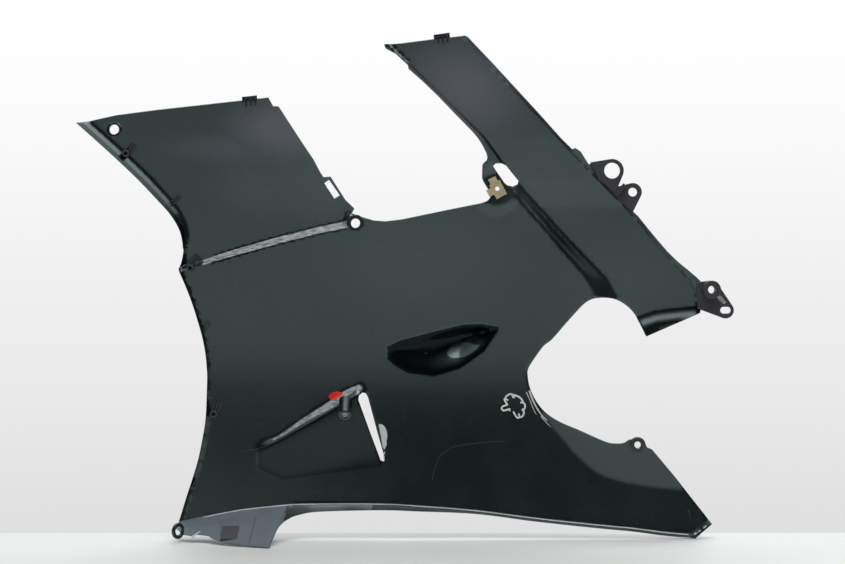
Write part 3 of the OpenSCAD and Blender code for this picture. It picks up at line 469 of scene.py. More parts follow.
def shape(x, z):
    """Shape of the sheet's inner face: its depth along Y, in millimetres."""
    x, z = np.asarray(x, float), np.asarray(z, float)
    return (seated(x, z) + lobe_part(x, z) - front_turn(x, z) + wall_part(x, z) - rear_turn(x, z)
            - end_turn(x, z) - bottom_turn(x, z) - tail_part(x, z) - scoop_part(x, z) + recess_part(x, z))


EAR_OFFSET = RING_RISE - float(shape(0, 0))


def face(x, z):
    """Distance along Y of the sheet's inner face, with the near end of the ear's bore at the origin."""
    return shape(x, z) + EAR_OFFSET


def thickness(x, z):
    """Wall measured along Y, which grows where the sheet is steep."""
    h = SLOPE_STEP
    sx = (face(x + h, z) - face(x - h, z)) / (2 * h)
    sz = (face(x, z + h) - face(x, z - h)) / (2 * h)
    return WALL * np.minimum(np.sqrt(1 + sx * sx + sz * sz), STEEP_MAX)


def on_panel(px, py):
    """Place in X and Z of a spot of the inner face, from where the photograph shows it."""
    x = z = depth = 0.0
    for _ in range(VIEW_ROUNDS):
        scale = (VIEW_DISTANCE + depth) / VIEW_FOCAL
        x, z = (px - PHOTO_W / 2) * scale + VIEW_X, (PHOTO_H / 2 - py) * scale + VIEW_Z
        depth = float(face(x, z))
    return [x, z]


def traced(pixels):
    """Places in X and Z of pixels of the photograph."""
    return [on_panel(*p) for p in pixels]


def flange_border(z):
    """Where the painted shade of the lobe's rolled flange ends, at a height."""
    return along(z, FRONT_EDGE) + FLANGE_SHADE_SHARE * along(z, FRONT_WIDTH)


def curve(points, n):
    """Smooth curve through given points, n steps between each two, without its last point."""
    p = np.array(points, float)
    out = []
    for k in range(len(p) - 1):
        a, b, c, d = p[max(k - 1, 0)], p[k], p[k + 1], p[min(k + 2, len(p) - 1)]
        for i in range(n):
            t = i / n
            out.append(0.5 * (2 * b + (c - a) * t + (2 * a - 5 * b + 4 * c - d) * t * t
                              + (3 * b - a - 3 * c + d) * t ** 3))
    return [list(q) for q in out]


def spaced(loop, step):
    """A closed loop with its long sides split into steps."""
    out = []
    for k, a in enumerate(loop):
        b = loop[(k + 1) % len(loop)]
        gap = math.dist(a, b)
        if gap < TINY_GAP:
            continue
        n = max(1, round(gap / step))
        out += [[a[0] + (b[0] - a[0]) * i / n, a[1] + (b[1] - a[1]) * i / n] for i in range(n)]
    return out


def outline():
    """The sheet's outline, with its round stretches as curves."""
    return (curve(FRONT_LOW, 6) + curve(FRONT_HIGH, 6) + LOBE_TOP + LOBE_REAR + PANEL_TOP + curve(ARM_ROOT, 4)
            + ARM_FRONT + ARM_TOP + ARM_REAR[1:] + ARM_END[:-1] + curve(ARCH, 5) + TAIL_REAR[:-1]
            + curve(BOTTOM_EDGE, 5) + [BOTTOM_EDGE[-1]] + FOOT_EDGE)


def signed_area(loop):
    p = np.array(loop)
    q = np.roll(p, -1, 0)
    return 0.5 * float(np.sum(p[:, 0] * q[:, 1] - q[:, 0] * p[:, 1]))


def offset(loop, d):
    """A closed loop moved to its left by d, with short mitres."""
    p = np.array(loop, float)
    before, after = p - np.roll(p, 1, 0), np.roll(p, -1, 0) - p
    n1 = np.stack([-before[:, 1], before[:, 0]], 1) / np.linalg.norm(before, axis=1)[:, None]
    n2 = np.stack([-after[:, 1], after[:, 0]], 1) / np.linalg.norm(after, axis=1)[:, None]
    n = n1 + n2
    n /= np.maximum(np.linalg.norm(n, axis=1), NOT_ZERO)[:, None]
    stretch = np.minimum(1 / np.maximum(np.sum(n * n1, 1), LOOP_MITRE_MIN), LOOP_MITRE_MAX)
    return (p + n * (d * stretch)[:, None]).tolist()


def inside(points, loop):
    """Which points lie inside a closed loop."""
    x, z = points[:, 0], points[:, 1]
    hit = np.zeros(len(points), bool)
    p = np.array(loop)
    q = np.roll(p, 1, 0)
    for (x1, z1), (x2, z2) in zip(p, q):
        if z1 == z2:
            continue
        cross = ((z1 > z) != (z2 > z)) & (x < (x2 - x1) * (z - z1) / (z2 - z1) + x1)
        hit ^= cross
    return hit


def circle(x, z, r, n=48):
    return [[x + r * math.cos(2 * math.pi * k / n), z + r * math.sin(2 * math.pi * k / n)] for k in range(n)]


def hull(points):
    """Convex outline round points, anticlockwise."""
    rows = sorted(map(tuple, points))

    def half(seq):
        out = []
        for p in seq:
            while len(out) > 1 and ((out[-1][0] - out[-2][0]) * (p[1] - out[-2][1])
                                    - (out[-1][1] - out[-2][1]) * (p[0] - out[-2][0])) <= 0:
                out.pop()
            out.append(p)
        return out

    return [list(p) for p in half(rows)[:-1] + half(rows[::-1])[:-1]]


def facing(loop):
    """A closed loop turned anticlockwise."""
    return loop if signed_area(loop) > 0 else loop[::-1]


def looped(loops):
    """Points of closed loops, and the edges that join them."""
    points, edges = [], []
    for loop in loops:
        first = len(points)
        points += loop
        edges += [(first + k, first + (k + 1) % len(loop)) for k in range(len(loop))]
    return points, edges


def triangles(points, edges, outer, holes):
    """Triangles between an outer loop and its holes, all anticlockwise, without unused points."""
    verts, _, tris, *_ = delaunay_2d_cdt([Vector(p) for p in points], edges, [], 0, MERGE_GAP)
    v = np.array([[p.x, p.y] for p in verts])
    t = np.array(tris)
    mid = v[t].mean(1)
    keep = inside(mid, outer)
    for hole in holes:
        keep &= ~inside(mid, hole)
    t = t[keep]
    a, b, c = v[t[:, 0]], v[t[:, 1]], v[t[:, 2]]
    turn = (b[:, 0] - a[:, 0]) * (c[:, 1] - a[:, 1]) - (b[:, 1] - a[:, 1]) * (c[:, 0] - a[:, 0])
    t[turn < 0] = t[turn < 0][:, ::-1]
    t = t[np.abs(turn) > SLIVER]
    used = np.unique(t)
    renumber = np.full(len(v), -1)
    renumber[used] = np.arange(len(used))
    return v[used], renumber[t]


def rims(v, t):
    """Boundary edges of the triangles, with the outward direction at each boundary point."""
    edges = {(f[k], f[(k + 1) % 3]) for f in t.tolist() for k in range(3)}
    border = [e for e in edges if (e[1], e[0]) not in edges]
    normals = {}
    for a, b in border:
        d = v[b] - v[a]
        n = np.array([d[1], -d[0]]) / max(np.hypot(*d), NOT_ZERO)
        for k in (a, b):
            normals.setdefault(k, []).append(n)
    direction = {}
    for k, ns in normals.items():
        n = sum(ns)
        n = n / max(np.hypot(*n), NOT_ZERO)
        direction[k] = n * min(1 / max(float(n @ ns[0]), RIM_MITRE_MIN), RIM_MITRE_MAX)
    return border, direction


def slab(v, t, near, thick, edge):
    """Solid between two depths over flat triangles, with chamfered rims, and its faces' material indices."""
    border, direction = rims(v, t)
    n = len(v)
    verts = [(p[0], q, p[1]) for p, q in zip(v, near)]
    verts += [(p[0], q + w, p[1]) for p, q, w in zip(v, near, thick)]
    faces = [tuple(f) for f in t.tolist()]
    faces += [(f[2] + n, f[1] + n, f[0] + n) for f in t.tolist()]
    ring = {}
    for k, d in direction.items():
        x, z = v[k] + d * edge
        ring[k] = len(verts)
        verts += [(x, near[k] + edge * CHAMFER_DEPTH, z), (x, near[k] + thick[k] - edge * CHAMFER_DEPTH, z)]
    for p, q in border:
        faces += [(q, p, ring[p], ring[q]), (ring[q], ring[p], ring[p] + 1, ring[q] + 1),
                  (ring[q] + 1, ring[p] + 1, p + n, q + n)]
    return verts, faces, [0] * len(t) + [1] * len(t) + [0] * (3 * len(border))


def flat_part(outer, near, far, holes=(), edge=0.5):
    """Flat piece between two depths, with chamfered rims."""
    outer = offset(facing(outer), edge)
    holes = [offset(facing(h), -edge) for h in holes]
    v, t = triangles(*looped([outer, *holes]), outer, holes)
    verts, faces, _ = slab(v, t, np.full(len(v), near), np.full(len(v), far - near), edge)
    return verts, faces


def lathe(profile, n=48):
    """Solid of revolution round Z from [radius, height] points; radius 0 closes it."""
    verts, faces, rings = [], [], []
    for r, h in profile:
        if r == 0:
            rings.append([len(verts)] * n)
            verts.append((0, 0, h))
        else:
            rings.append(list(range(len(verts), len(verts) + n)))
            verts += [(x, y, h) for x, y in circle(0, 0, r, n)]
    for a, b in zip(rings, rings[1:]):
        for k in range(n):
            corners = [a[k], a[(k + 1) % n], b[(k + 1) % n], b[k]]
            faces.append(tuple(dict.fromkeys(corners)))
    return verts, faces


def moved(part, matrix):
    """A part, as its points and faces, put elsewhere."""
    return [tuple(matrix @ Vector(p)) for p in part[0]], part[1]


def joined(parts):
    """Several parts as one."""
    verts, faces = [], []
    for v, f in parts:
        faces += [tuple(k + len(verts) for k in one) for one in f]
        verts += v
    return verts, faces


def place_at(x, y, z):
    return Matrix.Translation(Vector((x, y, z)))


def turned(degrees, axis):
    return Matrix.Rotation(math.radians(degrees), 4, axis)


def on_face(x, z):
    """The place of a spot of the inner face."""
    return place_at(x, float(face(x, z)), z)


def new_object(name, part, materials, smooth_angle=None, indices=None):
    """A mesh object from points in millimetres."""
    verts, faces = part
    mesh = bpy.data.meshes.new(name)
    mesh.from_pydata([(v[0] * MM, v[1] * MM, v[2] * MM) for v in verts], [], faces)
    for m in materials:
        mesh.materials.append(m)
    if indices is not None:
        mesh.polygons.foreach_set("material_index", indices)
    if smooth_angle is not None:
        mesh.shade_smooth()
        mesh.set_sharp_from_angle(angle=math.radians(smooth_angle))
    mesh.update()
    obj = bpy.data.objects.new(name, mesh)
    bpy.context.scene.collection.objects.link(obj)
    return obj


def dress(obj, slot, *nodes):
    """Fixes a piece to the one body and hides the solids that it stands for; the finish that it is given is
    not used.
    """
    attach(obj, "root")
    if nodes:
        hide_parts(*nodes)


# Materials


def add(tree, kind, links=(), **settings):
    """Adds a node with its settings, and links (socket, output) pairs into it."""
    node = tree.nodes.new(kind)
    inputs = settings.pop("inputs", {})
    for key, value in settings.items():
        setattr(node, key, value)
    for key, value in inputs.items():
        node.inputs[key].default_value = value
    for key, out in links:
        tree.links.new(out, node.inputs[key])
    return node


def new_material(name, **values):
    """A material with one shader, and values for the shader's sockets."""
    material = bpy.data.materials.new(name)
    material.use_nodes = True
    tree = material.node_tree
    tree.nodes.clear()
    out = tree.nodes.new("ShaderNodeOutputMaterial")
    shader = tree.nodes.new("ShaderNodeBsdfPrincipled")
    tree.links.new(shader.outputs[0], out.inputs[0])
    for key, value in values.items():
        shader.inputs[key].default_value = value
    return material, tree, shader


def soft_spot(tree, place, centre, size, strength):
    """A soft-edged patch round a place on the object, in millimetres, as a factor."""
    off = add(tree, "ShaderNodeVectorMath", [(0, place)], operation="SUBTRACT",
              inputs={1: [c * MM for c in centre]})
    scaled = add(tree, "ShaderNodeVectorMath", [(0, off.outputs[0])], operation="DIVIDE",
                 inputs={1: [c * MM for c in size]})
    far = add(tree, "ShaderNodeVectorMath", [(0, scaled.outputs[0])], operation="LENGTH")
    level = add(tree, "ShaderNodeMapRange", [("Value", far.outputs["Value"])],
                interpolation_type="SMOOTHSTEP",
                inputs={"From Min": 0.15, "From Max": 1.0, "To Min": strength, "To Max": 0.0})
    return level.outputs[0]


def moulded_abs(name, ior, look):
    """Black injection-moulded ABS: a deep black with a soft sheen, flow marks, and thin films in places that
    are partly dust and partly painted sheen.
    """
    # The shaded copies mirror less through their lower IOR: painted shade
    material, tree, shader = new_material(name, **{"IOR": ior, "Specular Tint": linear("#def4f7")})
    place = add(tree, "ShaderNodeTexCoord")
    # Flow marks of the melt, about 60 mm apart
    flow = add(tree, "ShaderNodeTexNoise", [("Vector", place.outputs["Object"])],
               inputs={"Scale": 1 / 0.060, "Detail": 3.0, "Roughness": 0.5})
    # Fine grain of the mould's surface, about 1.2 mm so that it shows
    grain = add(tree, "ShaderNodeTexNoise", [("Vector", place.outputs["Object"])],
                inputs={"Scale": 1 / 0.0012, "Detail": 2.0})
    tint = add(tree, "ShaderNodeMix", [("Factor", flow.outputs["Fac"])], data_type="RGBA",
               inputs={"A": linear("#020405"), "B": linear("#05090a")})
    # Thin films, partly dust and partly painted sheen: greenish on the body and low on the lobe, purplish
    # high on the lobe and on the arm
    colour = tint.outputs["Result"]
    for hex_colour, spots in DUST_AND_SHEEN_FILMS:
        level = None
        for spot in spots:
            one = soft_spot(tree, place.outputs["Object"], *spot)
            if level is not None:
                one = add(tree, "ShaderNodeMath", [(0, level), (1, one)], operation="MAXIMUM").outputs[0]
            level = one
        film = add(tree, "ShaderNodeMix", [("Factor", level), ("A", colour)], data_type="RGBA",
                   inputs={"B": linear(hex_colour)})
        colour = film.outputs["Result"]
    tree.links.new(colour, shader.inputs["Base Color"])
    rough = add(tree, "ShaderNodeMapRange", [("Value", flow.outputs["Fac"])],
                inputs={"To Min": look.abs_roughness - 0.05, "To Max": look.abs_roughness + 0.07})
    tree.links.new(rough.outputs[0], shader.inputs["Roughness"])
    bump = add(tree, "ShaderNodeBump", [("Height", grain.outputs["Fac"])],
               inputs={"Strength": 0.05, "Distance": 0.0004})
    tree.links.new(bump.outputs[0], shader.inputs["Normal"])
    return material


def matt_abs(name, dark, light):
    """ABS moulded against a spark-eroded face of the mould: matt, with a fine even grain, in a grey far paler
    than the black sheet; on the foot flange that grey is painted sheen.
    """
    material, tree, shader = new_material(name, IOR=MATT_IOR, Roughness=0.55)
    place = add(tree, "ShaderNodeTexCoord")
    # Clouds of uneven tone about 18 mm wide, and a grain drawn at 0.9 mm so that it shows
    cloud = add(tree, "ShaderNodeTexNoise", [("Vector", place.outputs["Object"])],
                inputs={"Scale": 1 / 0.018, "Detail": 4.0})
    grain = add(tree, "ShaderNodeTexNoise", [("Vector", place.outputs["Object"])],
                inputs={"Scale": 1 / 0.0009, "Detail": 2.0})
    tint = add(tree, "ShaderNodeMix", [("Factor", cloud.outputs["Fac"])], data_type="RGBA",
               inputs={"A": linear(dark), "B": linear(light)})
    tree.links.new(tint.outputs["Result"], shader.inputs["Base Color"])
    bump = add(tree, "ShaderNodeBump", [("Height", grain.outputs["Fac"])],
               inputs={"Strength": 0.12, "Distance": 0.0004})
    tree.links.new(bump.outputs[0], shader.inputs["Normal"])
    return material


def worn_and_sheen_abs():
    """ABS on a steep wall, light grey with darker streaks that run along it: scuffed, and painted pale as the
    reflection of the overhead light.
    """
    material, tree, shader = new_material("worn_abs_grey", IOR=MATT_IOR, Roughness=0.42)
    place = add(tree, "ShaderNodeTexCoord")
    # Streaks about 12 mm long and 2 mm wide
    stretch = add(tree, "ShaderNodeMapping", [("Vector", place.outputs["Object"])],
                  inputs={"Rotation": (0.0, math.radians(20), 0.0),
                          "Scale": (1 / 0.012, 1 / 0.004, 1 / 0.002)})
    streak = add(tree, "ShaderNodeTexNoise", [("Vector", stretch.outputs[0])],
                 inputs={"Scale": 1.0, "Detail": 4.0, "Roughness": 0.6})
    tint = add(tree, "ShaderNodeValToRGB", [(0, streak.outputs["Fac"])])
    stops = tint.color_ramp.elements
    stops[0].position, stops[0].color = 0.34, linear("#4b4f50")
    stops[1].position, stops[1].color = 0.62, linear("#b2b5b5")
    tree.links.new(tint.outputs[0], shader.inputs["Base Color"])
    bump = add(tree, "ShaderNodeBump", [("Height", streak.outputs["Fac"])],
               inputs={"Strength": 0.15, "Distance": 0.0005})
    tree.links.new(bump.outputs[0], shader.inputs["Normal"])
    return material


def gloss_paint():
    """Black acrylic topcoat on the outer side: smooth, with sharp reflections under a clear coat."""
    values = {"Roughness": 0.16, "IOR": 1.5, "Coat Weight": 0.6, "Coat Roughness": 0.04}
    material, tree, shader = new_material("acrylic_paint_black", **values)
    place = add(tree, "ShaderNodeTexCoord")
    # Orange peel about 4 mm wide
    peel = add(tree, "ShaderNodeTexNoise", [("Vector", place.outputs["Object"])],
               inputs={"Scale": 1 / 0.004, "Detail": 1.0})
    tint = add(tree, "ShaderNodeMix", [("Factor", peel.outputs["Fac"])], data_type="RGBA",
               inputs={"A": linear("#0b0c0e"), "B": linear("#101214")})
    tree.links.new(tint.outputs["Result"], shader.inputs["Base Color"])
    bump = add(tree, "ShaderNodeBump", [("Height", peel.outputs["Fac"])],
               inputs={"Strength": 0.04, "Distance": 0.0003})
    tree.links.new(bump.outputs[0], shader.inputs["Normal"])
    return material


def zinc_steel():
    """Spring steel with yellow-passivated zinc: warm grey-gold, half matt, with cloudy tone."""
    material, tree, shader = new_material("yellow_zinc_spring_steel", Metallic=0.5)
    place = add(tree, "ShaderNodeTexCoord")
    # Clouds of the passivated layer, about 5 mm wide
    cloud = add(tree, "ShaderNodeTexNoise", [("Vector", place.outputs["Object"])],
                inputs={"Scale": 1 / 0.005, "Detail": 4.0})
    tint = add(tree, "ShaderNodeMix", [("Factor", cloud.outputs["Fac"])], data_type="RGBA",
               inputs={"A": linear("#b5a06d"), "B": linear("#f2e6c2")})
    tree.links.new(tint.outputs["Result"], shader.inputs["Base Color"])
    rough = add(tree, "ShaderNodeMapRange", [("Value", cloud.outputs["Fac"])],
                inputs={"To Min": 0.32, "To Max": 0.55})
    tree.links.new(rough.outputs[0], shader.inputs["Roughness"])
    return material


def paint_mark(name, hex_colour, roughness):
    """Thin paint, grime, plastic scuffed or scratched pale, or a painted glare or highlight, with a slightly
    uneven tone.
    """
    material, tree, shader = new_material(name, Roughness=roughness)
    place = add(tree, "ShaderNodeTexCoord")
    tone = add(tree, "ShaderNodeTexNoise", [("Vector", place.outputs["Object"])],
               inputs={"Scale": 1 / 0.003, "Detail": 3.0})
    level = add(tree, "ShaderNodeMapRange", [("Value", tone.outputs["Fac"])],
                inputs={"To Min": 0.75, "To Max": 1.1})
    colour = add(tree, "ShaderNodeVectorMath", [(1, level.outputs[0])], operation="MULTIPLY",
                 inputs={0: linear(hex_colour)[:3]})
    tree.links.new(colour.outputs[0], shader.inputs["Base Color"])
    return material


# Moulded sheet


def feature_lines():
    """Lines where the sheet bends sharply, so that the mesh follows them."""
    def ranged(line, a, b):
        ends = [[v, float(along(v, line))] for v in (a, b)]
        return [ends[0]] + [p for p in sorted(line) if a < p[0] < b] + [ends[1]]

    def between(low, high, share, a, b):
        xs = np.linspace(a, b, FOLLOWED_WALL_POINTS)
        lows, highs = along(xs, low), along(xs, high)
        return np.column_stack([xs, lows + (highs - lows) * share]).tolist()

    heights = np.linspace(*FLANGE_HEIGHTS)
    lines = [np.column_stack([flange_border(heights), heights]).tolist()]
    for line, start, end, upright in FOLLOWED:
        stretch = ranged(line, start, end)
        lines.append(by_height(stretch) if upright else stretch)
    lines += [traced(RECESS_SHINE), traced(SCOOP_WORN_AND_SHEEN)]
    for low, high, start, end in FOLLOWED_WALLS:
        lines += [between(low, high, share, start, end) for share in (SLANT_END, 0.5, 1 - SLANT_END)]
    return lines


def sheet_triangles(settings):
    """Triangles of the sheet in X and Z that follow its outline, its holes and its sharp lines."""
    step, edge = settings.cell, settings.edge_radius
    outer = offset(facing(spaced(outline(), step * OUTLINE_CELL)), edge)
    holes = [circle(x, z, r + edge) for x, z, r in SHEET_HOLES]
    for slot in (LOBE_SLOT, ARM_SLOT, VENT_SLOT):
        holes.append(offset(facing(spaced(slot, step * OUTLINE_CELL)), -edge))
    points, edges = looped([outer, *holes])
    for line in feature_lines():
        dense = spaced(line + line[::-1], step * LINE_CELL)
        dense = dense[:len(dense) // 2 + 1]
        ok = inside(np.array(dense), outer)
        for a, b, ok_a, ok_b in zip(dense, dense[1:], ok, ok[1:]):
            if ok_a and ok_b:
                points += [a, b]
                edges.append((len(points) - 2, len(points) - 1))
    lines = np.array(points)
    # Rows of points half a cell apart in turn, as in a brick wall
    xs = np.arange(*GRID_X, step)
    zs = np.arange(*GRID_Z, step * ROW_CELL)
    grid = np.array([[x + (step / 2 if k % 2 else 0), z] for k, z in enumerate(zs) for x in xs])
    keep = inside(grid, outer)
    for hole in holes:
        keep &= ~inside(grid, hole)
    grid = grid[keep]
    near = np.full(len(grid), np.inf)
    for part in np.array_split(lines, max(1, len(lines) // MEASURED_AT_ONCE)):
        d = np.hypot(grid[:, None, 0] - part[None, :, 0], grid[:, None, 1] - part[None, :, 1]).min(1)
        near = np.minimum(near, d)
    points += grid[near > step * CLEAR_CELL].tolist()
    return triangles(points, edges, outer, holes)


def finishes(places):
    """Index of the inner face's finish at places in X and Z."""
    x, z = places[:, 0], places[:, 1]
    lip = z < along(x, TURN_LINE)
    arm_end = (x > ARM_END_X) & (z > ARM_END_Z) & (z < along(x, END_LINE))
    flange = (z > ROLL_LOW) & (x < flange_border(z))
    scoop = (x > SCOOP_SHADE_X) & (x < along(z, SLOT_FRONT))
    scoop &= (z < along(x, SCOOP_LOW)) & (z > along(x, SCOOP_EDGE))
    recess = (x > RECESS_SHADE_X[0]) & (x < RECESS_SHADE_X[1])
    recess &= (z > along(x, RECESS_LOW)) & (z < along(x, RECESS_HIGH))
    recess &= ~inside(places, traced(RECESS_SHINE))
    step = (x > STEP_WORN_AND_SHEEN_X[0]) & (x < STEP_WORN_AND_SHEEN_X[1])
    step &= (z > along(x, STEP_LOW)) & (z < along(x, STEP_HIGH))
    # Shaded copies paint shade on the bottom lip, the arm's end flange, the lobe's flange, the scoop and the
    # recess, deepest on the lip's rear and in the recess; the foot flange gets painted sheen, the step and
    # scoop walls a painted reflection
    zone = np.zeros(len(places), int)
    zone[(lip & (x > FOOT_SHEEN_X)) | arm_end | flange | scoop] = PAINTED_SHADE
    zone[(lip & (x > DEEP_SHADE_LIP_X)) | recess] = PAINTED_DEEP_SHADE
    zone[lip & (x < FOOT_SHEEN_X)] = MATT_SHEEN
    zone[step | inside(places, traced(SCOOP_WORN_AND_SHEEN))] = WORN_AND_SHEEN
    return zone.tolist()


def build_sheet(settings, materials):
    v, t = sheet_triangles(settings)
    x, z = v[:, 0], v[:, 1]
    verts, faces, indices = slab(v, t, face(x, z), thickness(x, z), settings.edge_radius)
    indices[:len(t)] = finishes(v[t].mean(1))
    return new_object("panel_sheet", (verts, faces), materials, SHEET_SHARP, indices)


# Moulded fixings


def rib_row(count, pitch, size, material):
    """A row of equal ribs made by a node group, as points and faces in millimetres."""
    group = bpy.data.node_groups.new("rib_row", "GeometryNodeTree")
    kinds = {"Count": "Int", "Pitch": "Float", "Rib Size": "Vector", "Material": "Material"}
    for name, kind in kinds.items():
        group.interface.new_socket(name, in_out="INPUT", socket_type="NodeSocket" + kind)
    group.interface.new_socket("Geometry", in_out="OUTPUT", socket_type="NodeSocketGeometry")
    given = group.nodes.new("NodeGroupInput")
    result = group.nodes.new("NodeGroupOutput")
    step = add(group, "ShaderNodeCombineXYZ", [(2, given.outputs["Pitch"])])
    line = add(group, "GeometryNodeMeshLine",
               [("Count", given.outputs["Count"]), ("Offset", step.outputs[0])])
    bar = add(group, "GeometryNodeMeshCube", [("Size", given.outputs["Rib Size"])])
    copies = add(group, "GeometryNodeInstanceOnPoints",
                 [("Points", line.outputs[0]), ("Instance", bar.outputs[0])])
    real = add(group, "GeometryNodeRealizeInstances", [("Geometry", copies.outputs[0])])
    finish = add(group, "GeometryNodeSetMaterial",
                 [("Geometry", real.outputs[0]), ("Material", given.outputs["Material"])])
    group.links.new(finish.outputs[0], result.inputs[0])
    holder = bpy.data.objects.new("rib_row", bpy.data.meshes.new("rib_row"))
    bpy.context.scene.collection.objects.link(holder)
    modifier = holder.modifiers.new("rib_row", "NODES")
    modifier.node_group = group
    values = {"Count": count, "Pitch": pitch, "Rib Size": size, "Material": material}
    for item in group.interface.items_tree:
        if item.in_out == "INPUT":
            modifier[item.identifier] = values[item.name]
    holder.update_tag()
    depsgraph = bpy.context.evaluated_depsgraph_get()
    mesh = bpy.data.meshes.new_from_object(holder.evaluated_get(depsgraph))
    soft = bmesh.new()
    soft.from_mesh(mesh)
    bmesh.ops.remove_doubles(soft, verts=soft.verts, dist=MERGE_GAP)
    bmesh.ops.bevel(soft, geom=list(soft.edges), offset=RIB_EDGE, segments=1, affect="EDGES")
    soft.verts.index_update()
    part = [tuple(v.co) for v in soft.verts], [tuple(v.index for v in f.verts) for f in soft.faces]
    soft.free()
    bpy.data.objects.remove(holder)
    bpy.data.meshes.remove(mesh)
    bpy.data.node_groups.remove(group)
    return part


def ring_boss(x, z, r, bore_r):
    """Thicker ring of wall round a hole in the sheet."""
    near = float(face(x, z)) - RING_RISE
    bore = circle(x, z, bore_r, ROUND_N)
    return flat_part(circle(x, z, r, ROUND_N), near, near + WALL + 2 * RING_RISE, [bore], FIXING_EDGE)


def tube(r, bore_r, length, bore_l, root, edge):
    """Blind tube along Z, from a root below its foot to its open end."""
    return lathe([[0, -root], [r, -root], [r, length - edge], [r - edge, length], [bore_r + edge / 2, length],
                  [bore_r, length - edge / 2], [bore_r, length - bore_l], [0, length - bore_l]])


def clip_boss(x, z, angle, ribs):
    base = on_face(x, z)
    boss = tube(CLIP_R, CLIP_BORE_R, CLIP_H, CLIP_H - CLIP_FLOOR, SEAT, CLIP_EDGE)
    fan = place_at(CLIP_BORE_R + CLIP_RIB_L / 2, SEAT - CLIP_RIB_H / 2, -CLIP_RIB_PITCH)
    return [moved(boss, base @ turned(90, "X")), moved(ribs, base @ turned(-angle, "Y") @ fan)]


def edge_ribs(x, z, angle, ribs):
    base = on_face(x, z) @ turned(-angle, "Y")
    return [moved(ribs, base @ place_at(EDGE_RIB_L / 2, SEAT - EDGE_RIB_H / 2, -CLIP_RIB_PITCH / 2))]


def hook_tab(x, z, w, angle, ribs):
    base = on_face(x, z) @ turned(-angle, "Y")
    plate = flat_part([[0, -HOOK_ROOT], [w, -HOOK_ROOT], [w, HOOK_H], [0, HOOK_H]], 0, HOOK_T)
    start = place_at(w * HOOK_RIB_START + CLIP_RIB_T / 2, SEAT - HOOK_RIB_H / 2, -HOOK_RIB_DROP)
    row = start @ turned(90, "Y")
    return [moved(plate, base), moved(ribs, base @ row)]


def post_base():
    """Foot and direction of the screw post."""
    return on_face(*POST_AT) @ place_at(0, POST_SINK, 0) @ turned(90 + POST_TILT, "X")


def screw_post():
    return [moved(tube(POST_R, POST_BORE_R, POST_L, POST_BORE_L, 0, POST_EDGE), post_base())]


def arm_bracket():
    near = float(face(*BRACKET_AT)) - BRACKET_RISE
    far = near + BRACKET_STEP
    parts = []
    for start, place, r, bore_r, root in ((near, NEAR_LUG_AT, NEAR_LUG_R, NEAR_LUG_BORE_R, NEAR_LUG_ROOT),
                                          (far, FAR_LUG_AT, FAR_LUG_R, FAR_LUG_BORE_R, FAR_LUG_ROOT)):
        lug = hull(circle(*place, r) + root)
        parts.append(flat_part(lug, start, start + LUG_T, [circle(*place, bore_r)], FIXING_EDGE))
    return parts + [flat_part(LUG_WALL, near + LUG_WALL_NEAR, far + LUG_WALL_FAR, (), SMALL_EDGE)]


def end_near():
    """Near side of the web at the arm's end."""
    return float(face(*END_AT)) - END_RISE


def end_bracket():
    near = end_near()
    far = near + END_WEB_T
    (x, z), (loop_x, loop_z) = END_BOSS_AT, END_LOOP_AT
    web = hull(circle(x, z, END_BOSS_R) + circle(loop_x, loop_z, END_LOOP_R) + END_ROOT)
    loop = []
    for side_x, side_z in circle(0, 0, END_LOOP_BORE_R, 32):
        half = END_LOOP_HALF if side_x > 0 else -END_LOOP_HALF
        loop.append([loop_x + side_x + half, loop_z + side_z])
    loop = hull(loop)
    r, bore_r, top, edge = END_BOSS_R, END_BOSS_BORE_R, END_BOSS_H, FIXING_EDGE
    boss = lathe([[bore_r, 0], [r - edge, 0], [r, edge], [r, top - edge], [r - edge, top],
                  [bore_r + END_BOSS_CHAMFER, top], [bore_r, top - END_BOSS_CHAMFER], [bore_r, 0]], ROUND_N)
    return [flat_part(web, near, far, [circle(x, z, bore_r), loop], FIXING_EDGE),
            moved(boss, place_at(x, far, z) @ turned(90, "X"))]


def foot_tab():
    x, z = FOOT_TAB_AT
    base = place_at(x, float(face(*FOOT_CORNER)) - FOOT_TAB_OUT, z) @ turned(FOOT_TAB_TURN, "Z")
    half = FOOT_TAB_T / 2
    bore = circle(0, 0, FOOT_TAB_BORE_R)
    return [moved(flat_part(circle(0, 0, FOOT_TAB_R, ROUND_N), -half, half, [bore], FIXING_EDGE), base)]


def foot_pad():
    half = PAD_W / 2
    corners = [[-half, -PAD_L], [half, -PAD_L], [half, 0], [-half, 0]]
    pad = flat_part(corners, PAD_NEAR, PAD_FAR, (), SMALL_EDGE)
    return [moved(pad, on_face(*PAD_AT) @ turned(-math.degrees(math.atan(FOOT_SLOPE)), "X"))]


def build_fixings(material, pale_grey):
    clip_ribs = rib_row(CLIP_RIBS, CLIP_RIB_PITCH, (CLIP_RIB_L, CLIP_RIB_H, CLIP_RIB_T), material)
    pair = rib_row(EDGE_RIBS, CLIP_RIB_PITCH, (EDGE_RIB_L, EDGE_RIB_H, CLIP_RIB_T), material)
    hook_ribs = rib_row(HOOK_RIBS, HOOK_RIB_PITCH, (HOOK_RIB_L, HOOK_RIB_H, CLIP_RIB_T), material)
    clips = []
    for place in CLIP_BOSSES:
        clips += clip_boss(*place, clip_ribs)
    for place in EDGE_RIB_PLACES:
        clips += edge_ribs(*place, pair)
    clips += arm_bracket() + end_bracket() + foot_pad()
    parts = [ring_boss(*hole) for hole in RING_HOLES]
    for place in HOOK_TABS:
        parts += hook_tab(*place, hook_ribs)
    parts += screw_post() + foot_tab()
    return (new_object("panel_fixings", joined(parts), [material], FIXING_SHARP),
            new_object("panel_clips", joined(clips), [pale_grey], FIXING_SHARP))


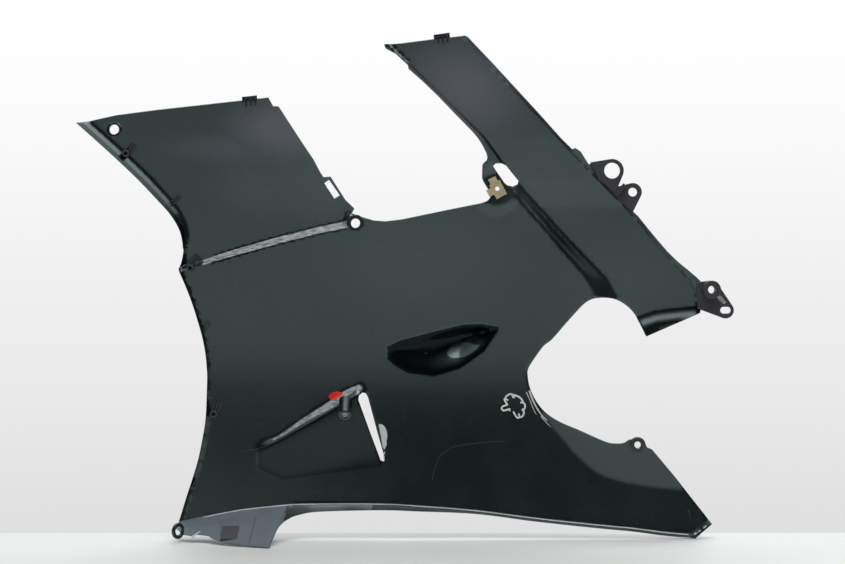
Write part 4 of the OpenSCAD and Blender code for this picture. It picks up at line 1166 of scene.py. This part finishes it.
def build_sheen_and_worn_spots(material):
    """Painted light: a pale disc just inside the screw post's mouth; and the neck of the end bracket, pale
    with wear.
    """
    low, high = [POST_L - depth for depth in POST_DISC]
    r = POST_BORE_R - POST_DISC_GAP
    disc = moved(lathe([[0, low], [r, low], [r, high], [0, high]], 32), post_base())
    neck = flat_part(NECK, end_near() - NECK_H, end_near() + NECK_ROOT, (), NECK_EDGE)
    return new_object("worn_spots", joined([disc, neck]), [material], FIXING_SHARP)


# Marks


def film_part(loop, height=FILM_H):
    """Thin film that follows the inner face inside a loop of places in X and Z."""
    loop = facing(loop)
    points, edges = looped([loop])
    low, high = np.min(loop, 0), np.max(loop, 0)
    xs, zs = np.arange(low[0], high[0], FILM_CELL), np.arange(low[1], high[1], FILM_CELL)
    grid = np.array([[x, z] for x in xs for z in zs])
    points += grid[inside(grid, offset(loop, FILM_INSET))].tolist()
    v, t = triangles(points, edges, loop, [])
    near = face(v[:, 0], v[:, 1]) - height
    return slab(v, t, near, np.full(len(v), height + FILM_ROOT), FILM_EDGE)[:2]


def stroke(points, width, end_width):
    """Outline of a stroke through points, from one width to another."""
    line = np.array(curve([list(p) for p in points], 4) + [list(points[-1])])
    step = np.gradient(line, axis=0)
    normal = np.column_stack([-step[:, 1], step[:, 0]]) / np.hypot(*step.T)[:, None]
    half = np.linspace(width, end_width, len(line))[:, None] / 2
    return (line + normal * half).tolist() + (line - normal * half).tolist()[::-1]


def marks(strokes, patches):
    """Films of strokes and patches that are given as pixels of the photograph."""
    parts = [film_part(stroke(traced(points), width, end_width)) for width, end_width, points in strokes]
    return joined(parts + [film_part(traced(patch)) for patch in patches])


# Properties, operators and panel


class FairingSheetSettings(bpy.types.PropertyGroup):
    cell: FloatProperty(name="Cell", description="Spacing of the sheet's mesh in millimetres",
                        default=3.4, min=2.0, max=12.0)
    edge_radius: FloatProperty(name="Edge rounding",
                               description="Rounding of the sheet's edges in millimetres",
                               default=0.6, min=0.2, max=1.0)


class FairingLookSettings(bpy.types.PropertyGroup):
    abs_roughness: FloatProperty(name="Plastic roughness",
                                 description="Mean roughness of the moulded plastic",
                                 default=0.26, min=0.1, max=0.8, subtype="FACTOR")


class FairingStageSettings(bpy.types.PropertyGroup):
    distance: FloatProperty(name="Camera distance",
                            description="Distance of the camera from the ear bore's plane",
                            default=VIEW_DISTANCE * MM, min=1.0, max=5.0, unit="LENGTH")
    focal_px: FloatProperty(name="Focal length",
                            description="Focal length in pixels of the photograph's width",
                            default=VIEW_FOCAL, min=500.0, max=4000.0)
    centre_x: FloatProperty(name="Camera X", description="Place of the camera along the panel",
                            default=VIEW_X * MM, unit="LENGTH")
    centre_z: FloatProperty(name="Camera Z", description="Height of the camera in the panel's frame",
                            default=VIEW_Z * MM, unit="LENGTH")
    backdrop_y: FloatProperty(name="Table rear",
                              description="Place of the table's rear edge behind the panel",
                              default=0.062, unit="LENGTH")
    table_w: FloatProperty(name="Table width", description="Width of the table", default=2.4, unit="LENGTH")
    table_d: FloatProperty(name="Table depth", description="Depth of the table", default=6.0, unit="LENGTH")
    key_power: FloatProperty(name="Overhead power", description="Power of the softbox overhead, in watts",
                             default=29.0, min=0.0)
    side_power: FloatProperty(name="Side power",
                              description="Power of the softbox at the upper right, in watts",
                              default=5.5, min=0.0)
    fill_power: FloatProperty(name="Rear power",
                              description="Power of the softbox behind the panel, in watts",
                              default=20.0, min=0.0)


MATERIALS = {}


def material(name):
    """A finish by its short name, made the first time that it is asked for."""
    look = bpy.context.scene.fairing_look
    makers = {"abs": lambda: moulded_abs("moulded_abs_black", PLAIN_IOR, look),
              # Shaded copies of the plastic, as painted shade
              "painted_shade": lambda: moulded_abs("moulded_abs_dull_black", PAINTED_SHADE_IOR, look),
              "painted_deep_shade": lambda: moulded_abs("moulded_abs_dullest_black", PAINTED_DEEP_SHADE_IOR, look),
              # Clips and brackets: a matt grey paler than the sheet
              "pale_grey": lambda: matt_abs("moulded_abs_dusty", "#2a2a30", "#404047"),
              # Foot flange: matt skin whose pale grey is painted sheen
              "matt": lambda: matt_abs("moulded_abs_matt", "#4f585e", "#606a70"),
              # Scuffed walls with painted reflection, the post's painted light and the bracket neck's wear
              "worn_and_sheen": worn_and_sheen_abs,
              "paint": gloss_paint,
              "zinc": zinc_steel,
              "marker": lambda: paint_mark("paint_marker_white", "#e9ece9", 0.6),
              "red": lambda: paint_mark("enamel_paint_red", "#ee2a20", 0.4),
              "scuff": lambda: paint_mark("stress_whitened_abs", "#d5d8d6", 0.7),
              # Painted glare and highlights
              "painted_glare": lambda: paint_mark("rubbed_abs_pale", "#a9b0b4", 0.35),
              "dark": lambda: paint_mark("grime_dark", "#202226", 0.6),
              "scratch": lambda: paint_mark("scratched_abs_grey", "#3e4446", 0.6)}
    if name not in MATERIALS:
        MATERIALS[name] = makers[name]()
    return MATERIALS[name]


class FAIRING_OT_sheet(bpy.types.Operator):
    """Make the moulded sheet with its steps, scoop, recess and turned edges"""
    bl_idname = "fairing.sheet"
    bl_label = "Moulded sheet"

    def execute(self, context):
        obj = build_sheet(context.scene.fairing_sheet, [material(name) for name in SHEET_FINISHES])
        dress(obj, "moulded_abs", "fairing_panel")
        return {"FINISHED"}


class FAIRING_OT_fixings(bpy.types.Operator):
    """Make the moulded rings, clip bosses, ribs, hook tabs, screw post, brackets, foot tab and pad"""
    bl_idname = "fairing.fixings"
    bl_label = "Moulded fixings"

    def execute(self, context):
        for obj in build_fixings(material("abs"), material("pale_grey")):
            dress(obj, "moulded_abs", "fairing_panel")
        dress(build_sheen_and_worn_spots(material("worn_and_sheen")), "moulded_abs")
        return {"FINISHED"}


class FAIRING_OT_marks(bpy.types.Operator):
    """Make the marker ring, red spot, scuffs, painted glare, seams, scratches and the bend's painted
    highlight
    """
    bl_idname = "fairing.marks"
    bl_label = "Marks of use"

    def execute(self, context):
        kinds = (("marker_ring", MARKER_STROKES, (), "marker"), ("red_spot", (), RED_PATCHES, "red"),
                 ("scuffs", SCUFF_STROKES, SCUFF_PATCHES, "scuff"), ("glare", GLARE_STROKES, (), "painted_glare"),
                 ("seam_lines", SEAM_STROKES, (), "dark"), ("scratches", SCRATCH_STROKES, (), "scratch"))
        for name, strokes, patches, finish in kinds:
            dress(new_object(name, marks(strokes, patches), [material(finish)], SHEET_SHARP), "moulded_abs")
        bend = [[x, z - BEND_DROP] for x, z in TURN_LINE if BEND_X[0] < x < BEND_X[1]]
        line = film_part(stroke(bend, *BEND_W), BEND_H)
        dress(new_object("bend_line", line, [material("painted_glare")], SHEET_SHARP), "moulded_abs")
        return {"FINISHED"}


class FAIRING_OT_nut(bpy.types.Operator):
    """Finish the folded spring nut"""
    bl_idname = "fairing.nut"
    bl_label = "Spring nut"

    def execute(self, context):
        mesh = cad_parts["spring_nut"].data
        mesh.materials.clear()
        mesh.materials.append(material("zinc"))
        return {"FINISHED"}


class FAIRING_OT_stage(bpy.types.Operator):
    """Make the pale table, the studio light and the camera"""
    bl_idname = "fairing.stage"
    bl_label = "Studio stage"

    def execute(self, context):
        stage = context.scene.fairing_stage
        scene = context.scene
        self.table(stage)
        camera = bpy.data.cameras.new("camera")
        camera.sensor_width = SENSOR_W
        camera.lens = SENSOR_W * stage.focal_px / PHOTO_W
        camera.clip_start = CLIP_START
        holder = bpy.data.objects.new("camera", camera)
        holder.location = (stage.centre_x, -stage.distance, stage.centre_z)
        holder.rotation_euler = (math.radians(90), 0, 0)
        scene.collection.objects.link(holder)
        scene.camera = holder
        for name, place, target, width, height, power in SOFTBOXES:
            self.light(name, place, target, width, height, getattr(stage, power))
        self.world(scene)
        scene.view_settings.view_transform = "Standard"
        return {"FINISHED"}

    def table(self, stage):
        """White laminate table that ends just behind the panel, where the wall's tone begins."""
        laminate, *_ = new_material("white_laminate", **{"Base Color": linear("#c9c9c6"), "Roughness": 0.5})
        z = CAD_BOX[0][2] / MM - TABLE_GAP
        side = stage.table_w / MM / 2
        rear = stage.backdrop_y / MM
        front = rear - stage.table_d / MM
        corners = [(-side, rear), (-side, front), (side, front), (side, rear)]
        floor = new_object("table", ([(x, y, z) for x, y in corners], [(0, 1, 2, 3)]), [laminate])

    def light(self, name, place, target, width, height, power):
        """One softbox, turned to its target."""
        data = bpy.data.lights.new(name, "AREA")
        data.shape = "RECTANGLE"
        data.size, data.size_y = width, height
        data.energy = power
        obj = bpy.data.objects.new(name, data)
        obj.location = place
        obj.rotation_euler = (Vector(target) - Vector(place)).to_track_quat("-Z", "Y").to_euler()
        bpy.context.scene.collection.objects.link(obj)

    def world(self, scene):
        """Light that the gloss mirrors, and a pale backdrop for the camera."""
        world = bpy.data.worlds.new("studio")
        world.use_nodes = True
        tree = world.node_tree
        tree.nodes.clear()
        out = add(tree, "ShaderNodeOutputWorld")
        place = add(tree, "ShaderNodeTexCoord")
        axes = add(tree, "ShaderNodeSeparateXYZ", [(0, place.outputs["Generated"])])
        # Backdrop tone by height, with painted shade: white at the top, light grey by the table
        tone = add(tree, "ShaderNodeMapRange", [("Value", axes.outputs[2])],
                   inputs={"From Min": -0.135, "From Max": 0.13, "To Min": 0.0, "To Max": 1.0})
        shade = add(tree, "ShaderNodeValToRGB", [(0, tone.outputs[0])])
        stops = shade.color_ramp.elements
        stops[0].color, stops[1].color = linear("#dfdfdf"), linear("#ffffff")
        middle = stops.new(0.48)
        middle.color = linear("#efefef")
        pale = add(tree, "ShaderNodeBackground", [("Color", shade.outputs[0])], inputs={"Strength": 1.0})
        # What the gloss mirrors: the wall behind, the dark room in front, the white ceiling above
        behind = add(tree, "ShaderNodeMapRange", [("Value", axes.outputs[1])],
                     inputs={"From Min": -0.05, "From Max": 0.25, "To Min": 0.0, "To Max": 0.85})
        above = add(tree, "ShaderNodeMapRange", [("Value", axes.outputs[2])],
                    inputs={"From Min": 0.45, "From Max": 0.7, "To Min": 0.03, "To Max": 0.7})
        both = add(tree, "ShaderNodeMath", [(0, behind.outputs[0]), (1, above.outputs[0])],
                   operation="MAXIMUM")
        room = add(tree, "ShaderNodeBackground", [("Strength", both.outputs[0])],
                   inputs={"Color": linear("#f4fbff")})
        path = add(tree, "ShaderNodeLightPath")
        mix = add(tree, "ShaderNodeMixShader", [(0, path.outputs["Is Camera Ray"]), (1, room.outputs[0]),
                                                (2, pale.outputs[0])])
        tree.links.new(mix.outputs[0], out.inputs[0])
        scene.world = world


class FAIRING_PT_panel(bpy.types.Panel):
    """Lists the steps that dress the panel"""
    bl_idname = "FAIRING_PT_panel"
    bl_label = "Fairing panel"
    bl_space_type = "VIEW_3D"
    bl_region_type = "UI"
    bl_category = "Fairing"

    def draw(self, context):
        for operator in OPERATORS:
            self.layout.operator(operator.bl_idname)
        for group in ("fairing_sheet", "fairing_look", "fairing_stage"):
            settings = getattr(context.scene, group)
            for key in settings.__annotations__:
                self.layout.prop(settings, key)


OPERATORS = (FAIRING_OT_sheet, FAIRING_OT_fixings, FAIRING_OT_marks, FAIRING_OT_nut, FAIRING_OT_stage)
GROUPS = {"fairing_sheet": FairingSheetSettings, "fairing_look": FairingLookSettings,
          "fairing_stage": FairingStageSettings}
CLASSES = (*GROUPS.values(), *OPERATORS, FAIRING_PT_panel)


def register():
    for cls in CLASSES:
        bpy.utils.register_class(cls)
    for name, group in GROUPS.items():
        setattr(bpy.types.Scene, name, PointerProperty(type=group))


def unregister():
    for name in GROUPS:
        delattr(bpy.types.Scene, name)
    for cls in reversed(CLASSES):
        bpy.utils.unregister_class(cls)


def main():
    register()
    bpy.ops.fairing.sheet()
    bpy.ops.fairing.fixings()
    bpy.ops.fairing.marks()
    bpy.ops.fairing.nut()
    bpy.ops.fairing.stage()


if __name__ == "__main__":
    main()
